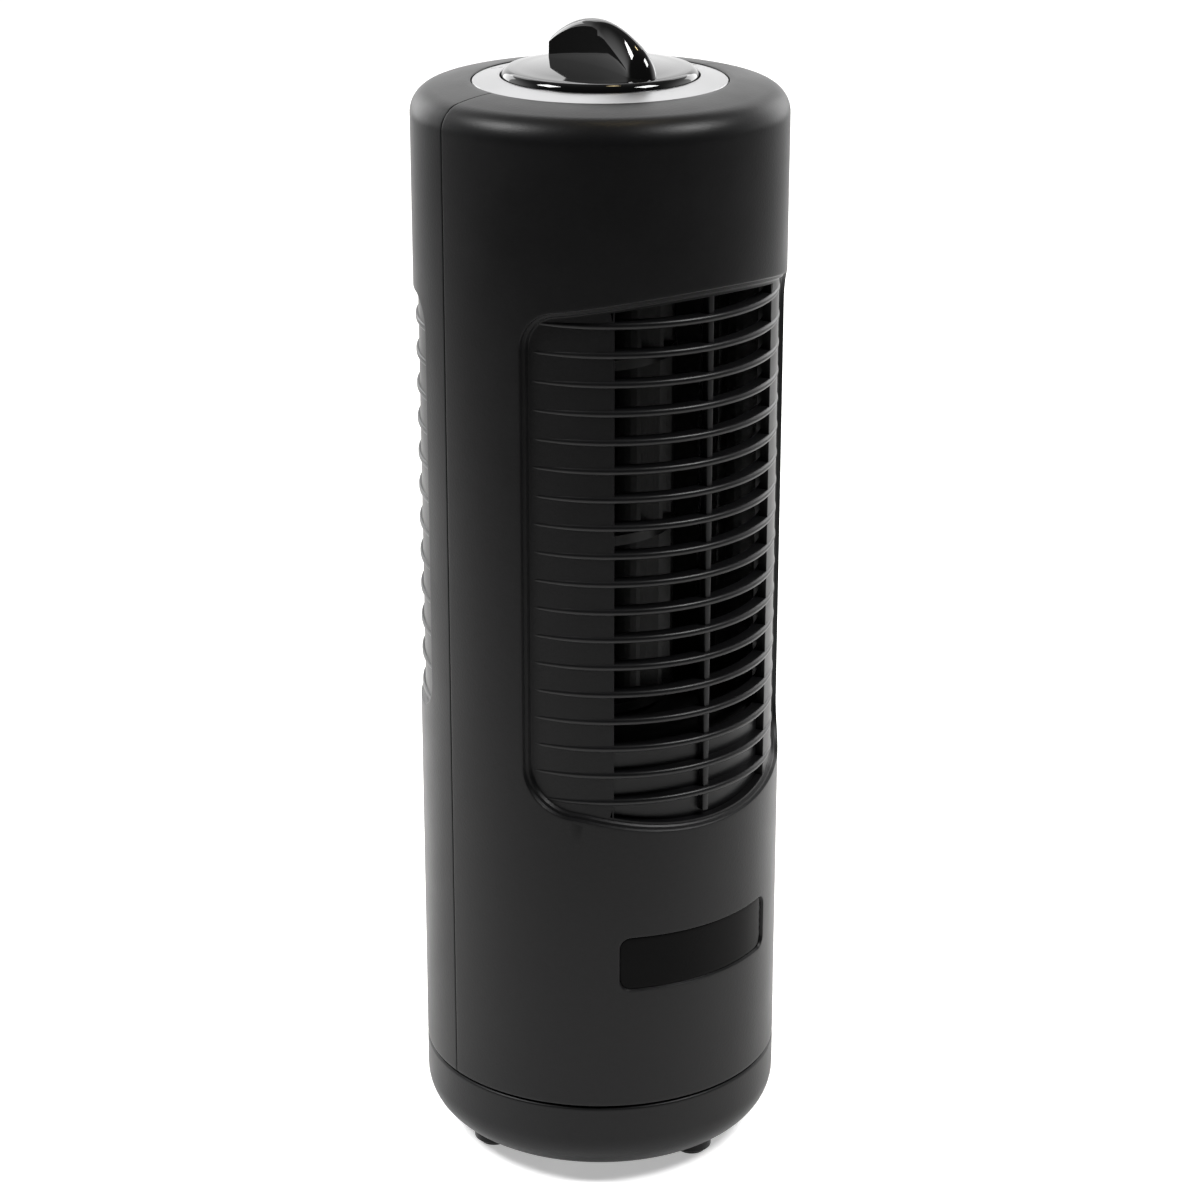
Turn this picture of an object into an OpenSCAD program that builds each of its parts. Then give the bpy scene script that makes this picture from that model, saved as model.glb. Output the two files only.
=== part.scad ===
// Small desk tower fan: a cylindrical tower that swings on a round base.
// The origin is on the table under the middle of the base, +Z is up and the air leaves along -Y.

/* [Body] */
// Outer radius of the tower and of the base
body_r = 50; // [48:0.5:54]
// Wall thickness of the moulded shells
wall = 2.4; // [2:0.1:2.8]
// Height of the gap between the base and the tower above the table
seam_z = 25.3; // [25.3:0.1:26]
// Height where the shoulder starts to round over
shoulder_z = 293.5; // [290:0.5:300]
// Radius of the shoulder
shoulder_r = 7; // [5:0.5:9]
// Slope of the top outside the dial, in degrees
top_slope = 8.4; // [8:0.1:12]

/* [Front grille] */
// Number of horizontal slats
slat_count = 18; // [14:1:20]
// Height of the middle of the lowest slat
slat_bottom_z = 116.5; // [114:0.5:118]
// Distance between slats
slat_pitch = 7.72; // [7:0.02:7.8]
// Thickness of a slat
slat_t = 2; // [1.6:0.1:2.4]
// Half angle of the recess around the slats
recess_half_angle = 59.6; // [56:0.2:60]
// Half angle of the air outlet
outlet_half_angle = 32; // [28:1:34]

/* [Rear grille] */
// Number of horizontal ribs
rib_count = 12; // [9:1:12]
// Height of the middle of the lowest rib
rib_bottom_z = 133.8; // [133:0.2:136]
// Distance between ribs
rib_pitch = 9.55; // [9:0.05:9.6]

/* [Impeller] */
// Outer radius of the cross-flow impeller
impeller_r = 27; // [24:0.5:27.5]
// Sideways place of the impeller axis
impeller_x = -8; // [-9:0.5:-7]
// Number of blades
blade_count = 18; // [12:1:24]

/* [Dial] */
// Outer radius of the metal ring
ring_r = 33.7; // [33:0.1:34]
// Radius of the dial
dial_r = 25.95; // [25:0.05:26.1]
// Height of the top of the grip
grip_top_z = 317.3; // [315:0.1:320]

/* [Swing] */
// Distance from the tower axis to the swing motor's shaft
crank_offset = 24; // [23:0.5:25]
// Half the sweep that the crank gives at a quarter turn, in degrees
crank_half_sweep = 30; // [28:1:30]

/* [Hidden] */
$fn = 64;

// Small steps shared by the parts
eps = 0.01;
fit = 0.05;
half_gap = 0.1;
inner_r = body_r - wall;

// Base
seam_gap = 0.5;
base_bottom_z = 3.1;
base_top_z = seam_z - seam_gap / 2;
base_corner_r = 12.1;
base_floor_top = base_bottom_z + wall;
deck_z = 21;
deck_top = 23.5;
post_r = 12;
post_bore_r = 7;
post_top = 31.1;
foot_place_r = 37.5;
foot_turn = -41;
foot_half_spread = 49;
foot_angles = [foot_turn - foot_half_spread, foot_turn + foot_half_spread,
    foot_turn + 180 - foot_half_spread, foot_turn + 180 + foot_half_spread];
foot_boss_r = 5.6;
foot_boss_z = 1.2;
foot_pad_r = 3.9;
foot_socket_z = 1.9;
base_screw_at = [30, 24];
m3_r = 1.5;
m3_head_r = 3;
screw_seat_z = 8;
gland_z = 15.2;
gland_r = 4.4;
gland_bore_r = 3;
wire_r = 2;

// Swing drive
crank_throw = crank_offset * tan(crank_half_sweep);
swing_shaft_r = 2.5;
arm_z = 23.8;
arm_t = 1.4;
roller_r = 2.2;
crank_pin_r = 1.5;
slot_half_w = 3.3;
slot_in_r = crank_offset - 3;
slot_out_r = crank_offset + crank_throw + 0.05;
swing_can_r = 19;
swing_can_z = 8;
ear_x = 22;

// Tower
tower_z = seam_z + seam_gap / 2;
floor_t = 2.5;
floor_top = tower_z + floor_t;
hub_r = 17;
hub_top = 30.8;
floor_screw_r = 39;
floor_screw_angles = [45, 135, 225, 315];
boss_x = 36;
boss_r = 4.2;
boss_zs = [45, 280];
boss_seat_y = 10;
seat_in_r = 42;
seat_t = 2;

// Top
well_z = 299.7;
well_t = 2;
well_hole_r = 12;
ring_seat_r = ring_r + 0.25;
shoulder_x = body_r - shoulder_r;
cone_r = shoulder_x + shoulder_r * sin(top_slope);
cone_z = shoulder_z + shoulder_r * cos(top_slope);
cone_in_z = cone_z + (cone_r - ring_seat_r) * tan(top_slope);

// Front grille: the slats bulge forward of the recess floor and run out into it at the sides
slat_arc_y = -4.6;
slat_arc_r = 45.2;
recess_arc_y = -3.2;
recess_arc_r = 45.85;
backing_t = 2.2;
recess_x = body_r * sin(recess_half_angle);
recess_top_z = 255.7;
recess_bottom_z = 106.6;
recess_top_arc = 160;
recess_bottom_arc = 115;
top_corner = [5.3, 11];
bottom_corner = [9.6, 15];
rim_step = 2.3;
slat_half_x = 38.8;
outlet_x = body_r * sin(outlet_half_angle);
outlet_z = slat_bottom_z + 2 * slat_pitch;
pocket_r = 46.4;
pocket_back_r = 44.2;
strut_w = 1.8;

// Rear grille
rear_arc_y = -1.62;
rear_arc_r = 49.58;
rib_arc_y = 0.88;
rib_arc_r = 49.02;
rear_recess_x = body_r * sin(77);
rear_recess_z = [130.3, 247.3];
intake_x = body_r * sin(60);
intake_z = [132.8, 244.8];
rib_t = 2;
rib_half_x = 46.8;

// Badge recess
badge_x = body_r * sin(30);
badge_z = [60.8, 76.9];
badge_floor_r = 48.9;
badge_round = 4;

// Air duct
plate_r = 43.4;
duct_floor_z = 129.4;
duct_plate_t = 2.5;
duct_top = duct_floor_z + duct_plate_t;
roof_z = 254;
scroll_t = 1.6;
scroll_start = [30, 29.5];
scroll_end = [135.4, 49];
harness_at = [35, 18.5];

// Main motor
motor_half = 26;
frame_w = 6;
motor_hole = 23;
stator_z = 84;
stator_h = 18;
lower_bracket_z = 72;
upper_bracket_z = 111.5;
bracket_t = 2.5;
leg_r = 3.2;
rotor_r = 11;
air_gap = 0.3;
pole_w = 16;
pole_ring_r = 14;
coil_w = 34;
coil_h = 32;
shaft_r = 3;
bush_r = 5;
bush_h = 6;

// Impeller
disc_zs = [134.5, 182.5, 230.7, 248.8];
disc_t = 2.8;
blade_in_r = 20.5;
blade_t = 1.1;
stub_r = 2.5;
hub_bush_r = 8;

// Dial
ring_in_r = 26.3;
ring_in_z = 303;
ring_out_z = 301.6;
dial_bottom_z = 300.1;
dial_edge_z = 304.3;
dial_edge_r = 2.2;
dial_dome_z = 305.7;
grip_arc_r = 31.4;
grip_half = 22.6;
grip_end_w = 4.2;
grip_waist_w = 2.7;
plate_z = well_z - well_t;

// ---- shared functions and shapes ----

// Points along an arc or an ellipse from angle a to angle b
function arc(cx, cy, rx, ry, a, b, n) =
    [for (i = [0:n]) let (t = a + (b - a) * i / n) [cx + rx * cos(t), cy + ry * sin(t)]];

// Place at a compass angle, where 0 is the front and 90 is the right
function around(r, phi) = [r * sin(phi), -r * cos(phi)];

// Height of the arched edges of the front recess
function top_edge(x) = recess_top_z - recess_top_arc + sqrt(pow(recess_top_arc, 2) - x * x);
function bottom_edge(x) = recess_bottom_z + recess_bottom_arc - sqrt(pow(recess_bottom_arc, 2) - x * x);

// Half of the recess outline on the right, from the bottom up
function recess_right() = let (
        bx = recess_x - bottom_corner[0],
        tx = recess_x - top_corner[0],
        b_end = atan2(bottom_corner[1], bottom_corner[0] * bx / recess_bottom_arc),
        t_end = atan2(top_corner[1], top_corner[0] * tx / recess_top_arc),
        b_z = bottom_edge(bx + bottom_corner[0] * cos(b_end)) + bottom_corner[1] * sin(b_end),
        t_z = top_edge(tx + top_corner[0] * cos(t_end)) - top_corner[1] * sin(t_end),
        b_x = bx + bottom_corner[0] * cos(b_end),
        t_x = tx + top_corner[0] * cos(t_end))
    concat(
        [for (i = [0:7]) let (x = b_x * i / 8) [x, bottom_edge(x)]],
        arc(bx, b_z, bottom_corner[0], bottom_corner[1], -b_end, 0, 8),
        arc(tx, t_z, top_corner[0], top_corner[1], 0, t_end, 8),
        [for (i = [7:-1:1]) let (x = t_x * i / 8) [x, top_edge(x)]]);

module recess_outline() {
    polygon(concat(recess_right(), [[0, recess_top_z]]));
    mirror([1, 0]) polygon(concat(recess_right(), [[0, recess_top_z]]));
}

// Turns a drawing in X and Z into a cutter that runs forward from y = 0
module forward(depth = 60) {
    rotate([90, 0, 0]) linear_extrude(depth) children();
}

module backward(depth = 60) {
    translate([0, depth, 0]) rotate([90, 0, 0]) linear_extrude(depth) children();
}

module rounded_rect(x, z0, z1, r) {
    translate([-x, z0 + r]) square([2 * x, z1 - z0 - 2 * r]);
    translate([-x + r, z0]) square([2 * x - 2 * r, z1 - z0]);
    for (sx = [-1, 1], z = [z0 + r, z1 - r]) translate([sx * (x - r), z]) circle(r);
}

module tube(r_out, r_in, z0, z1) {
    difference() {
        translate([0, 0, z0]) cylinder(r = r_out, h = z1 - z0);
        translate([0, 0, z0 - 1]) cylinder(r = r_in, h = z1 - z0 + 2);
    }
}

module rod(at, r, z0, z1) {
    translate([at[0], at[1], z0]) cylinder(r = r, h = z1 - z0);
}

// Pan-head screw along Z with its head at the bottom
module screw_up(at, seat_z, tip_z, r = m3_r, head_r = m3_head_r, head_h = 2.2) {
    rod(at, head_r, seat_z - head_h, seat_z);
    rod(at, r, seat_z - eps, tip_z);
}

module wire(points, r) {
    for (i = [0:len(points) - 2]) {
        a = points[i];
        d = points[i + 1] - a;
        translate(a) rotate([0, acos(d[2] / norm(d)), atan2(d[1], d[0])]) cylinder(r = r, h = norm(d));
    }
    for (i = [1:len(points) - 2]) translate(points[i]) sphere(r);
}

// ---- base ----

module base_outline(r, z, corner) {
    translate([0, z]) square([r - corner, base_top_z - z]);
    translate([0, z + corner]) square([r, base_top_z - z - corner]);
    translate([r - corner, z + corner]) circle(corner);
}

module base_shell() {
    color("#2b2b2d") difference() {
        union() {
            difference() {
                rotate_extrude() intersection() {
                    base_outline(body_r, base_bottom_z, base_corner_r);
                    square([body_r + 1, base_top_z]);
                }
                rotate_extrude() intersection() {
                    base_inside();
                    square([body_r, base_top_z + 1]);
                }
            }
            for (phi = foot_angles) rod(around(foot_place_r, phi), foot_boss_r, foot_boss_z, base_floor_top - 0.1);
            for (sx = [-1, 1], sy = [-1, 1])
                rod([sx * base_screw_at[0], sy * base_screw_at[1]], 4.5, base_bottom_z + 0.5, deck_z);
        }
        for (phi = foot_angles) rod(around(foot_place_r, phi), foot_pad_r, -1, foot_socket_z);
        for (sx = [-1, 1], sy = [-1, 1]) {
            rod([sx * base_screw_at[0], sy * base_screw_at[1]], m3_r + 0.2, -1, deck_z + 1);
            rod([sx * base_screw_at[0], sy * base_screw_at[1]], m3_head_r + 0.3, -1, screw_seat_z);
        }
        translate([0, 40, gland_z]) rotate([-90, 0, 0]) cylinder(r = gland_r, h = 15);
    }
}

module base_inside() {
    corner = base_corner_r - wall;
    translate([0, base_floor_top]) square([inner_r - corner, base_top_z - base_floor_top + 1]);
    translate([0, base_floor_top + corner]) square([inner_r, base_top_z - base_floor_top - corner + 1]);
    translate([inner_r - corner, base_floor_top + corner]) circle(corner);
}

module base_deck() {
    color("#3a3a3c") difference() {
        union() {
            rod([0, 0], inner_r - 0.3, deck_z, deck_top);
            rod([0, 0], post_r, deck_z, post_top);
        }
        rod([0, 0], post_bore_r, deck_z - 1, post_top + 1);
        rod([0, -crank_offset], 4, deck_z - 1, deck_top + 1);
        for (sx = [-1, 1], sy = [-1, 1])
            rod([sx * base_screw_at[0], sy * base_screw_at[1]], m3_r, deck_z - 1, deck_top - 0.2);
        for (sx = [-1, 1]) rod([sx * ear_x, -crank_offset], m3_r, deck_z - 1, deck_top - 0.2);
        for (phi = [0, 120, 240]) rod(around(9.6, phi), 1, post_top - 7, post_top + 1);
    }
}

module ballast_plate() {
    color("#77797c") difference() {
        intersection() {
            rod([0, 0], 37.4, base_floor_top, 12.6);
            translate([-50, -2, 0]) cube([100, 60, 40]);
        }
        for (sx = [-1, 1]) rod([sx * base_screw_at[0], base_screw_at[1]], 5, 0, 20);
    }
}

module rubber_feet() {
    color("#161616") for (phi = foot_angles) rod(around(foot_place_r, phi), foot_pad_r, 0, foot_socket_z);
}

module base_screws() {
    color("silver") for (sx = [-1, 1], sy = [-1, 1])
        screw_up([sx * base_screw_at[0], sy * base_screw_at[1]], screw_seat_z, deck_top - 0.3);
}

module cord_gland() {
    color("#1c1c1c") translate([0, 0, gland_z]) rotate([-90, 0, 0]) difference() {
        union() {
            translate([0, 0, 44.2]) cylinder(r = gland_r, h = 5.5);
            translate([0, 0, 44.2]) cylinder(r = gland_r + 1.2, h = 1.3);
        }
        translate([0, 0, 40]) cylinder(r = gland_bore_r, h = 15);
    }
}

module supply_wires() {
    color("#222222") wire([[0, 41, gland_z], [0, 0, gland_z], [0, 0, 32.8]], wire_r);
}

module swing_motor() {
    color("#a9abad") difference() {
        union() {
            rod([0, -crank_offset], swing_can_r, swing_can_z, deck_z);
            translate([-ear_x - 3, -crank_offset - 3.5, deck_z - 1]) cube([2 * ear_x + 6, 7, 1]);
        }
        rod([0, -crank_offset], swing_shaft_r + fit, 14, deck_z + 1);
        for (sx = [-1, 1]) rod([sx * ear_x, -crank_offset], m3_r + 0.1, deck_z - 2, deck_z + 1);
    }
}

module swing_motor_screws() {
    color("silver") for (sx = [-1, 1])
        screw_up([sx * ear_x, -crank_offset], deck_z - 1, deck_top - 0.3, head_r = 2.8, head_h = 1.8);
}

module glide_ring() {
    color("#e8e6df") tube(46.5, 43, deck_top, tower_z - 0.3);
}

module pivot_retainer() {
    color("#b7b9bb") difference() {
        tube(15.5, post_bore_r + 0.2, post_top, post_top + 2);
        for (phi = [0, 120, 240]) rod(around(9.6, phi), 1.15, post_top - 1, post_top + 3);
    }
}

module retainer_screws() {
    color("silver") for (phi = [0, 120, 240]) {
        rod(around(9.6, phi), 2.1, post_top + 2, post_top + 3.6);
        rod(around(9.6, phi), 1, post_top - 6, post_top + 2 + eps);
    }
}

// ---- swing drive ----

module swing_shaft() {
    color("silver") rod([0, -crank_offset], swing_shaft_r, 14.2, arm_z + arm_t);
}

module crank_arm() {
    pin_at = [0, -crank_offset - crank_throw];
    color("#d8d2c0") difference() {
        union() {
            rod([0, -crank_offset], 5.2, arm_z, arm_z + arm_t);
            rod(pin_at, 3.4, arm_z, arm_z + arm_t);
            translate([-3.4, pin_at[1], arm_z]) cube([6.8, crank_throw, arm_t]);
            rod(pin_at, crank_pin_r, arm_z, floor_top + 0.6);
        }
        rod([0, -crank_offset], swing_shaft_r, arm_z - 1, arm_z + arm_t + 1);
    }
}

module crank_roller() {
    color("#f0eee8") translate([0, -crank_offset - crank_throw, 0])
        tube(roller_r, crank_pin_r + 0.02, arm_z + arm_t, floor_top + 0.4);
}

// ---- tower shells ----

module tower_floor() {
    color("#333335") difference() {
        union() {
            rod([0, 0], inner_r - 0.2, tower_z, floor_top);
            rod([0, 0], hub_r, tower_z, hub_top);
        }
        rod([0, 0], post_r + fit, tower_z - 1, hub_top + 1);
        rod([0, -slot_in_r], slot_half_w, tower_z - 1, hub_top + 1);
        rod([0, -slot_out_r], slot_half_w, tower_z - 1, hub_top + 1);
        translate([-slot_half_w, -slot_out_r, tower_z - 1])
            cube([2 * slot_half_w, slot_out_r - slot_in_r, hub_top]);
        for (phi = floor_screw_angles) {
            rod(around(floor_screw_r, phi), m3_r + 0.1, tower_z - 1, hub_top);
            translate(concat(around(floor_screw_r, phi), tower_z - eps))
                cylinder(r1 = m3_head_r + 0.1, r2 = m3_r + 0.1, h = 1.5);
        }
    }
}

module floor_screws() {
    color("silver") for (phi = floor_screw_angles) {
        rod(around(floor_screw_r, phi), m3_r, tower_z + 1, floor_top + 8);
        translate(concat(around(floor_screw_r, phi), tower_z + 0.05))
            cylinder(r1 = m3_head_r, r2 = m3_r, h = 1.5);
    }
}

module shell_section() {
    inner_corner = shoulder_r - wall;
    polygon(concat(
        [[inner_r, tower_z], [body_r, tower_z]],
        arc(shoulder_x, shoulder_z, shoulder_r, shoulder_r, 0, 90 - top_slope, 12),
        [[ring_seat_r, cone_in_z], [ring_seat_r, well_z], [well_hole_r, well_z], [well_hole_r, plate_z],
            [ring_seat_r + 2, plate_z]],
        arc(shoulder_x, shoulder_z, inner_corner, inner_corner, 90, 0, 6)));
}

// Half of the shell: side is -1 for the front and 1 for the rear
module half_shell(side) {
    intersection() {
        rotate_extrude() shell_section();
        translate([-60, side > 0 ? half_gap : -60 - half_gap, 0]) cube([120, 60, 400]);
    }
}

// Rings and posts inside a half shell that hold the floor, the plates and the screws
module half_fittings(side) {
    intersection() {
        union() {
            for (z = [floor_top, duct_floor_z - seat_t, roof_z + duct_plate_t])
                tube(inner_r + 0.3, z < 50 ? inner_r - 3 : seat_in_r, z, z + seat_t);
            for (phi = floor_screw_angles) {
                rod(around(floor_screw_r, phi), 3.6, floor_top, floor_top + 12);
                rotate([0, 0, phi - 90]) translate([floor_screw_r, -1, floor_top]) cube([9, 2, 12]);
            }
        }
        translate([-60, side > 0 ? half_gap : -60 - half_gap, 0]) cube([120, 60, 400]);
    }
}

module fitting_holes() {
    for (phi = floor_screw_angles) rod(around(floor_screw_r, phi), m3_r, floor_top - 1, floor_top + 9);
    for (phi = floor_screw_angles) rod(around(24, phi), 1.2, plate_z - 1, plate_z + 1.6);
    translate([harness_at[0], harness_at[1], duct_floor_z - 5]) cylinder(r = 2.6, h = 140);
}

// Screw bosses of the front half, each joined to the side wall by a web
module front_bosses() {
    for (sx = [-1, 1], z = boss_zs) intersection() {
        translate([sx * boss_x, -half_gap, z]) rotate([90, 0, 0]) union() {
            cylinder(r = boss_r, h = 14);
            translate([sx > 0 ? 0 : -14, -1.2, 0]) cube([14, 2.4, 14]);
        }
        rod([0, 0], inner_r + 0.5, 0, 290);
    }
}

module slat_section() {
    translate([-8, -slat_t / 2]) square([8, slat_t]);
}

module slats() {
    difference() {
        intersection() {
            translate([0, slat_arc_y, 0]) rotate_extrude(angle = 180, start = 180)
                for (i = [0:slat_count - 1]) translate([slat_arc_r, slat_bottom_z + i * slat_pitch]) slat_section();
            translate([-slat_half_x, -60, 0]) cube([2 * slat_half_x, 60, 300]);
            forward() recess_outline();
        }
        translate([0, recess_arc_y, 0]) cylinder(r = recess_arc_r - backing_t - 0.6, h = 300);
    }
}

module outlet_outline(low_z) {
    n = 10;
    polygon(concat([[-outlet_x, low_z], [outlet_x, low_z]],
        [for (i = [0:n]) let (x = outlet_x * (1 - 2 * i / n)) [x, top_edge(x) - rim_step]]));
}

module pocket_outline() {
    n = 10;
    polygon(concat([[outlet_x, outlet_z + eps], [-outlet_x, outlet_z + eps]],
        [for (i = [0:n]) let (x = outlet_x * (2 * i / n - 1)) [x, bottom_edge(x) + rim_step]]));
}

module recess_cutter() {
    difference() {
        forward() recess_outline();
        translate([0, recess_arc_y, 0]) cylinder(r = recess_arc_r, h = 300);
    }
}

module badge_cutter(floor_r, out_r, inset) {
    intersection() {
        forward() rounded_rect(badge_x - inset, badge_z[0] + inset, badge_z[1] - inset, badge_round);
        tube(out_r, floor_r, badge_z[0] - 1, badge_z[1] + 1);
    }
}

module front_shell() {
    color("#232325") union() {
        difference() {
            union() {
                half_shell(-1);
                half_fittings(-1);
                front_bosses();
                grille_backing();
            }
            recess_cutter();
            forward() outlet_outline(outlet_z);
            difference() {
                forward() pocket_outline();
                rod([0, 0], pocket_r, 0, 300);
            }
            badge_cutter(badge_floor_r, body_r + 5, 0);
            for (sx = [-1, 1], z = boss_zs) translate([sx * boss_x, 1, z]) rotate([90, 0, 0])
                cylinder(r = m3_r - 0.1, h = 12);
            fitting_holes();
        }
        slats();
        translate([-strut_w / 2, -48.5, slat_bottom_z]) cube([strut_w, 3, recess_top_z - slat_bottom_z - 1]);
    }
}

// Thicker wall behind the slats, and a step behind the blind gaps under the outlet
module grille_backing() {
    zs = [recess_bottom_z - 3, recess_top_z + 2.5];
    difference() {
        intersection() {
            rod([0, 0], inner_r + 0.5, zs[0], zs[1]);
            translate([-recess_x - 2.4, -60, 0]) cube([2 * recess_x + 4.8, 60 - half_gap, 300]);
        }
        translate([0, recess_arc_y, 0]) cylinder(r = recess_arc_r - backing_t, h = 300);
    }
    difference() {
        intersection() {
            rod([0, 0], inner_r, recess_bottom_z - 1, outlet_z);
            translate([-outlet_x - 2, -60, 0]) cube([2 * outlet_x + 4, 60, 300]);
        }
        rod([0, 0], pocket_back_r, 0, 300);
        translate([-60, -20, 0]) cube([120, 80, 300]);
    }
}

module rear_ribs() {
    difference() {
        intersection() {
            translate([0, rib_arc_y, 0]) rotate_extrude(angle = 180)
                for (i = [0:rib_count - 1]) translate([rib_arc_r, rib_bottom_z + i * rib_pitch]) rib_section();
            backward() rounded_rect(rib_half_x, rear_recess_z[0] + 0.3, rear_recess_z[1] - 0.3, 8);
        }
        translate([0, rear_arc_y, 0]) cylinder(r = rear_arc_r - wall - 0.6, h = 300);
    }
}

module rib_section() {
    translate([-8, -rib_t / 2]) square([8, rib_t]);
}

module rear_backing() {
    difference() {
        intersection() {
            rod([0, 0], inner_r + 0.5, rear_recess_z[0] - 2, rear_recess_z[1] + 2);
            translate([-60, half_gap, 0]) cube([120, 60, 300]);
        }
        translate([0, rear_arc_y, 0]) cylinder(r = rear_arc_r - wall, h = 300);
    }
}

module rear_bosses() {
    for (sx = [-1, 1], z = boss_zs) intersection() {
        translate([sx * boss_x, half_gap, z]) rotate([-90, 0, 0]) cylinder(r = boss_r, h = 38);
        rod([0, 0], inner_r + 0.5, 0, 290);
    }
}

module rear_shell() {
    color("#232325") union() {
        difference() {
            union() {
                half_shell(1);
                half_fittings(1);
                rear_bosses();
                rear_backing();
            }
            difference() {
                backward() rounded_rect(rear_recess_x, rear_recess_z[0], rear_recess_z[1], 10);
                translate([0, rear_arc_y, 0]) cylinder(r = rear_arc_r, h = 300);
            }
            backward() rounded_rect(intake_x, intake_z[0], intake_z[1], 6);
            for (sx = [-1, 1], z = boss_zs) {
                translate([sx * boss_x, -1, z]) rotate([-90, 0, 0]) cylinder(r = m3_r + 0.1, h = 30);
                translate([sx * boss_x, boss_seat_y, z]) rotate([-90, 0, 0]) cylinder(r = m3_head_r + 0.2, h = 30);
            }
            fitting_holes();
        }
        rear_ribs();
        for (x = [-25, 0, 25]) intersection() {
            translate([x - strut_w / 2, 20, intake_z[0] - 1]) cube([strut_w, 30, intake_z[1] - intake_z[0] + 2]);
            tube(47.8, 45.4, 100, 260);
        }
    }
}

module shell_screws() {
    color("silver") for (sx = [-1, 1], z = boss_zs) translate([sx * boss_x, 0, z]) rotate([-90, 0, 0]) {
        translate([0, 0, boss_seat_y]) cylinder(r = m3_head_r, h = 2.2);
        translate([0, 0, -9.5]) cylinder(r = m3_r - 0.1, h = 9.5 + boss_seat_y + eps);
    }
}

module badge_plate() {
    color("#19191a") badge_cutter(badge_floor_r, badge_floor_r + 0.6, 0.15);
}

// ---- main motor ----

module motor_legs(z0, z1) {
    for (sx = [-1, 1], sy = [-1, 1]) rod([impeller_x + sx * motor_hole, sy * motor_hole], leg_r, z0, z1);
}

module motor_leg_holes(r, z0, z1) {
    for (sx = [-1, 1], sy = [-1, 1]) rod([impeller_x + sx * motor_hole, sy * motor_hole], r, z0, z1);
}

// Bracket plate with four legs and a bearing boss on the stator side
module motor_bracket(plate_low, legs, boss) {
    difference() {
        union() {
            translate([impeller_x - motor_half, -6, plate_low]) cube([2 * motor_half, 12, bracket_t]);
            for (sx = [-1, 1]) translate([impeller_x + sx * motor_hole - leg_r, -motor_half, plate_low])
                cube([2 * leg_r, 2 * motor_half, bracket_t]);
            motor_legs(legs[0], legs[1]);
            rod([impeller_x, 0], 8, boss[0], boss[1]);
        }
        rod([impeller_x, 0], bush_r, plate_low - 20, plate_low + 20);
        motor_leg_holes(m3_r + 0.1, legs[0] - 5, legs[1] + 5);
    }
}

module motor_lower_bracket() {
    color("#b9bbbd") motor_bracket(lower_bracket_z, [lower_bracket_z, stator_z],
        [lower_bracket_z, lower_bracket_z + bush_h]);
}

module motor_upper_bracket() {
    color("#b9bbbd") motor_bracket(upper_bracket_z, [stator_z + stator_h, upper_bracket_z + bracket_t],
        [upper_bracket_z + bracket_t - bush_h, upper_bracket_z + bracket_t]);
}

module stator_core() {
    color("#8a8c90") translate([impeller_x, 0, stator_z]) difference() {
        union() {
            difference() {
                translate([-motor_half, -motor_half, 0]) cube([2 * motor_half, 2 * motor_half, stator_h]);
                translate([frame_w - motor_half, frame_w - motor_half, -1])
                    cube([2 * (motor_half - frame_w), 2 * (motor_half - frame_w), stator_h + 2]);
            }
            translate([-pole_w / 2, -motor_half + 1, 0]) cube([pole_w, 2 * motor_half - 2, stator_h]);
            cylinder(r = pole_ring_r, h = stator_h);
        }
        translate([0, 0, -1]) cylinder(r = rotor_r + air_gap, h = stator_h + 2);
        for (sx = [-1, 1], sy = [-1, 1]) translate([sx * motor_hole, sy * motor_hole, -1])
            cylinder(r = m3_r + 0.1, h = stator_h + 2);
    }
}

module field_coils() {
    y0 = pole_ring_r + 0.2;
    depth = motor_half - frame_w - 0.2 - y0;
    color("#a65a2a") for (sy = [-1, 1])
        translate([impeller_x, sy * (y0 + depth / 2), stator_z + stator_h / 2]) difference() {
            cube([coil_w, depth, coil_h], center = true);
            cube([pole_w + 0.2, depth + 2, stator_h + 0.2], center = true);
        }
}

module lower_bearing() {
    color("#b08d57") translate([impeller_x, 0, 0])
        tube(bush_r, shaft_r + fit, lower_bracket_z, lower_bracket_z + bush_h);
}

module upper_bearing() {
    color("#b08d57") translate([impeller_x, 0, 0])
        tube(bush_r, shaft_r + fit, upper_bracket_z + bracket_t - bush_h, upper_bracket_z + bracket_t);
}

module motor_bolts() {
    color("silver") for (sx = [-1, 1], sy = [-1, 1])
        screw_up([impeller_x + sx * motor_hole, sy * motor_hole], lower_bracket_z, 123.8, r = m3_r);
}

// ---- air duct ----

module duct_floor() {
    color("#2c2c2e") difference() {
        union() {
            rod([0, 0], plate_r, duct_floor_z, duct_top);
            motor_legs(upper_bracket_z + bracket_t, duct_floor_z + eps);
        }
        rod([impeller_x, 0], hub_bush_r + 1.5, duct_floor_z - 1, duct_top + 1);
        motor_leg_holes(m3_r, upper_bracket_z, 124);
        rod(harness_at, 2.6, duct_floor_z - 1, duct_top + 1);
    }
}

module duct_roof() {
    color("#2c2c2e") difference() {
        union() {
            rod([0, 0], plate_r, roof_z, roof_z + duct_plate_t);
            rod([impeller_x, 0], 8.5, roof_z - 1.5, roof_z + duct_plate_t + 2);
        }
        rod([impeller_x, 0], bush_r, roof_z - 5, roof_z + 10);
        rod(harness_at, 2.6, roof_z - 1, roof_z + duct_plate_t + 1);
    }
}

// Point of the scroll wall: a spiral around the impeller that opens from the rear to the outlet
function scroll_point(t, out) = let (
        a = scroll_start[0] + (scroll_end[0] - scroll_start[0]) * t,
        r = scroll_start[1] * pow(scroll_end[1] / scroll_start[1], t) + out)
    [impeller_x + r * sin(a), r * cos(a)];

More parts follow.
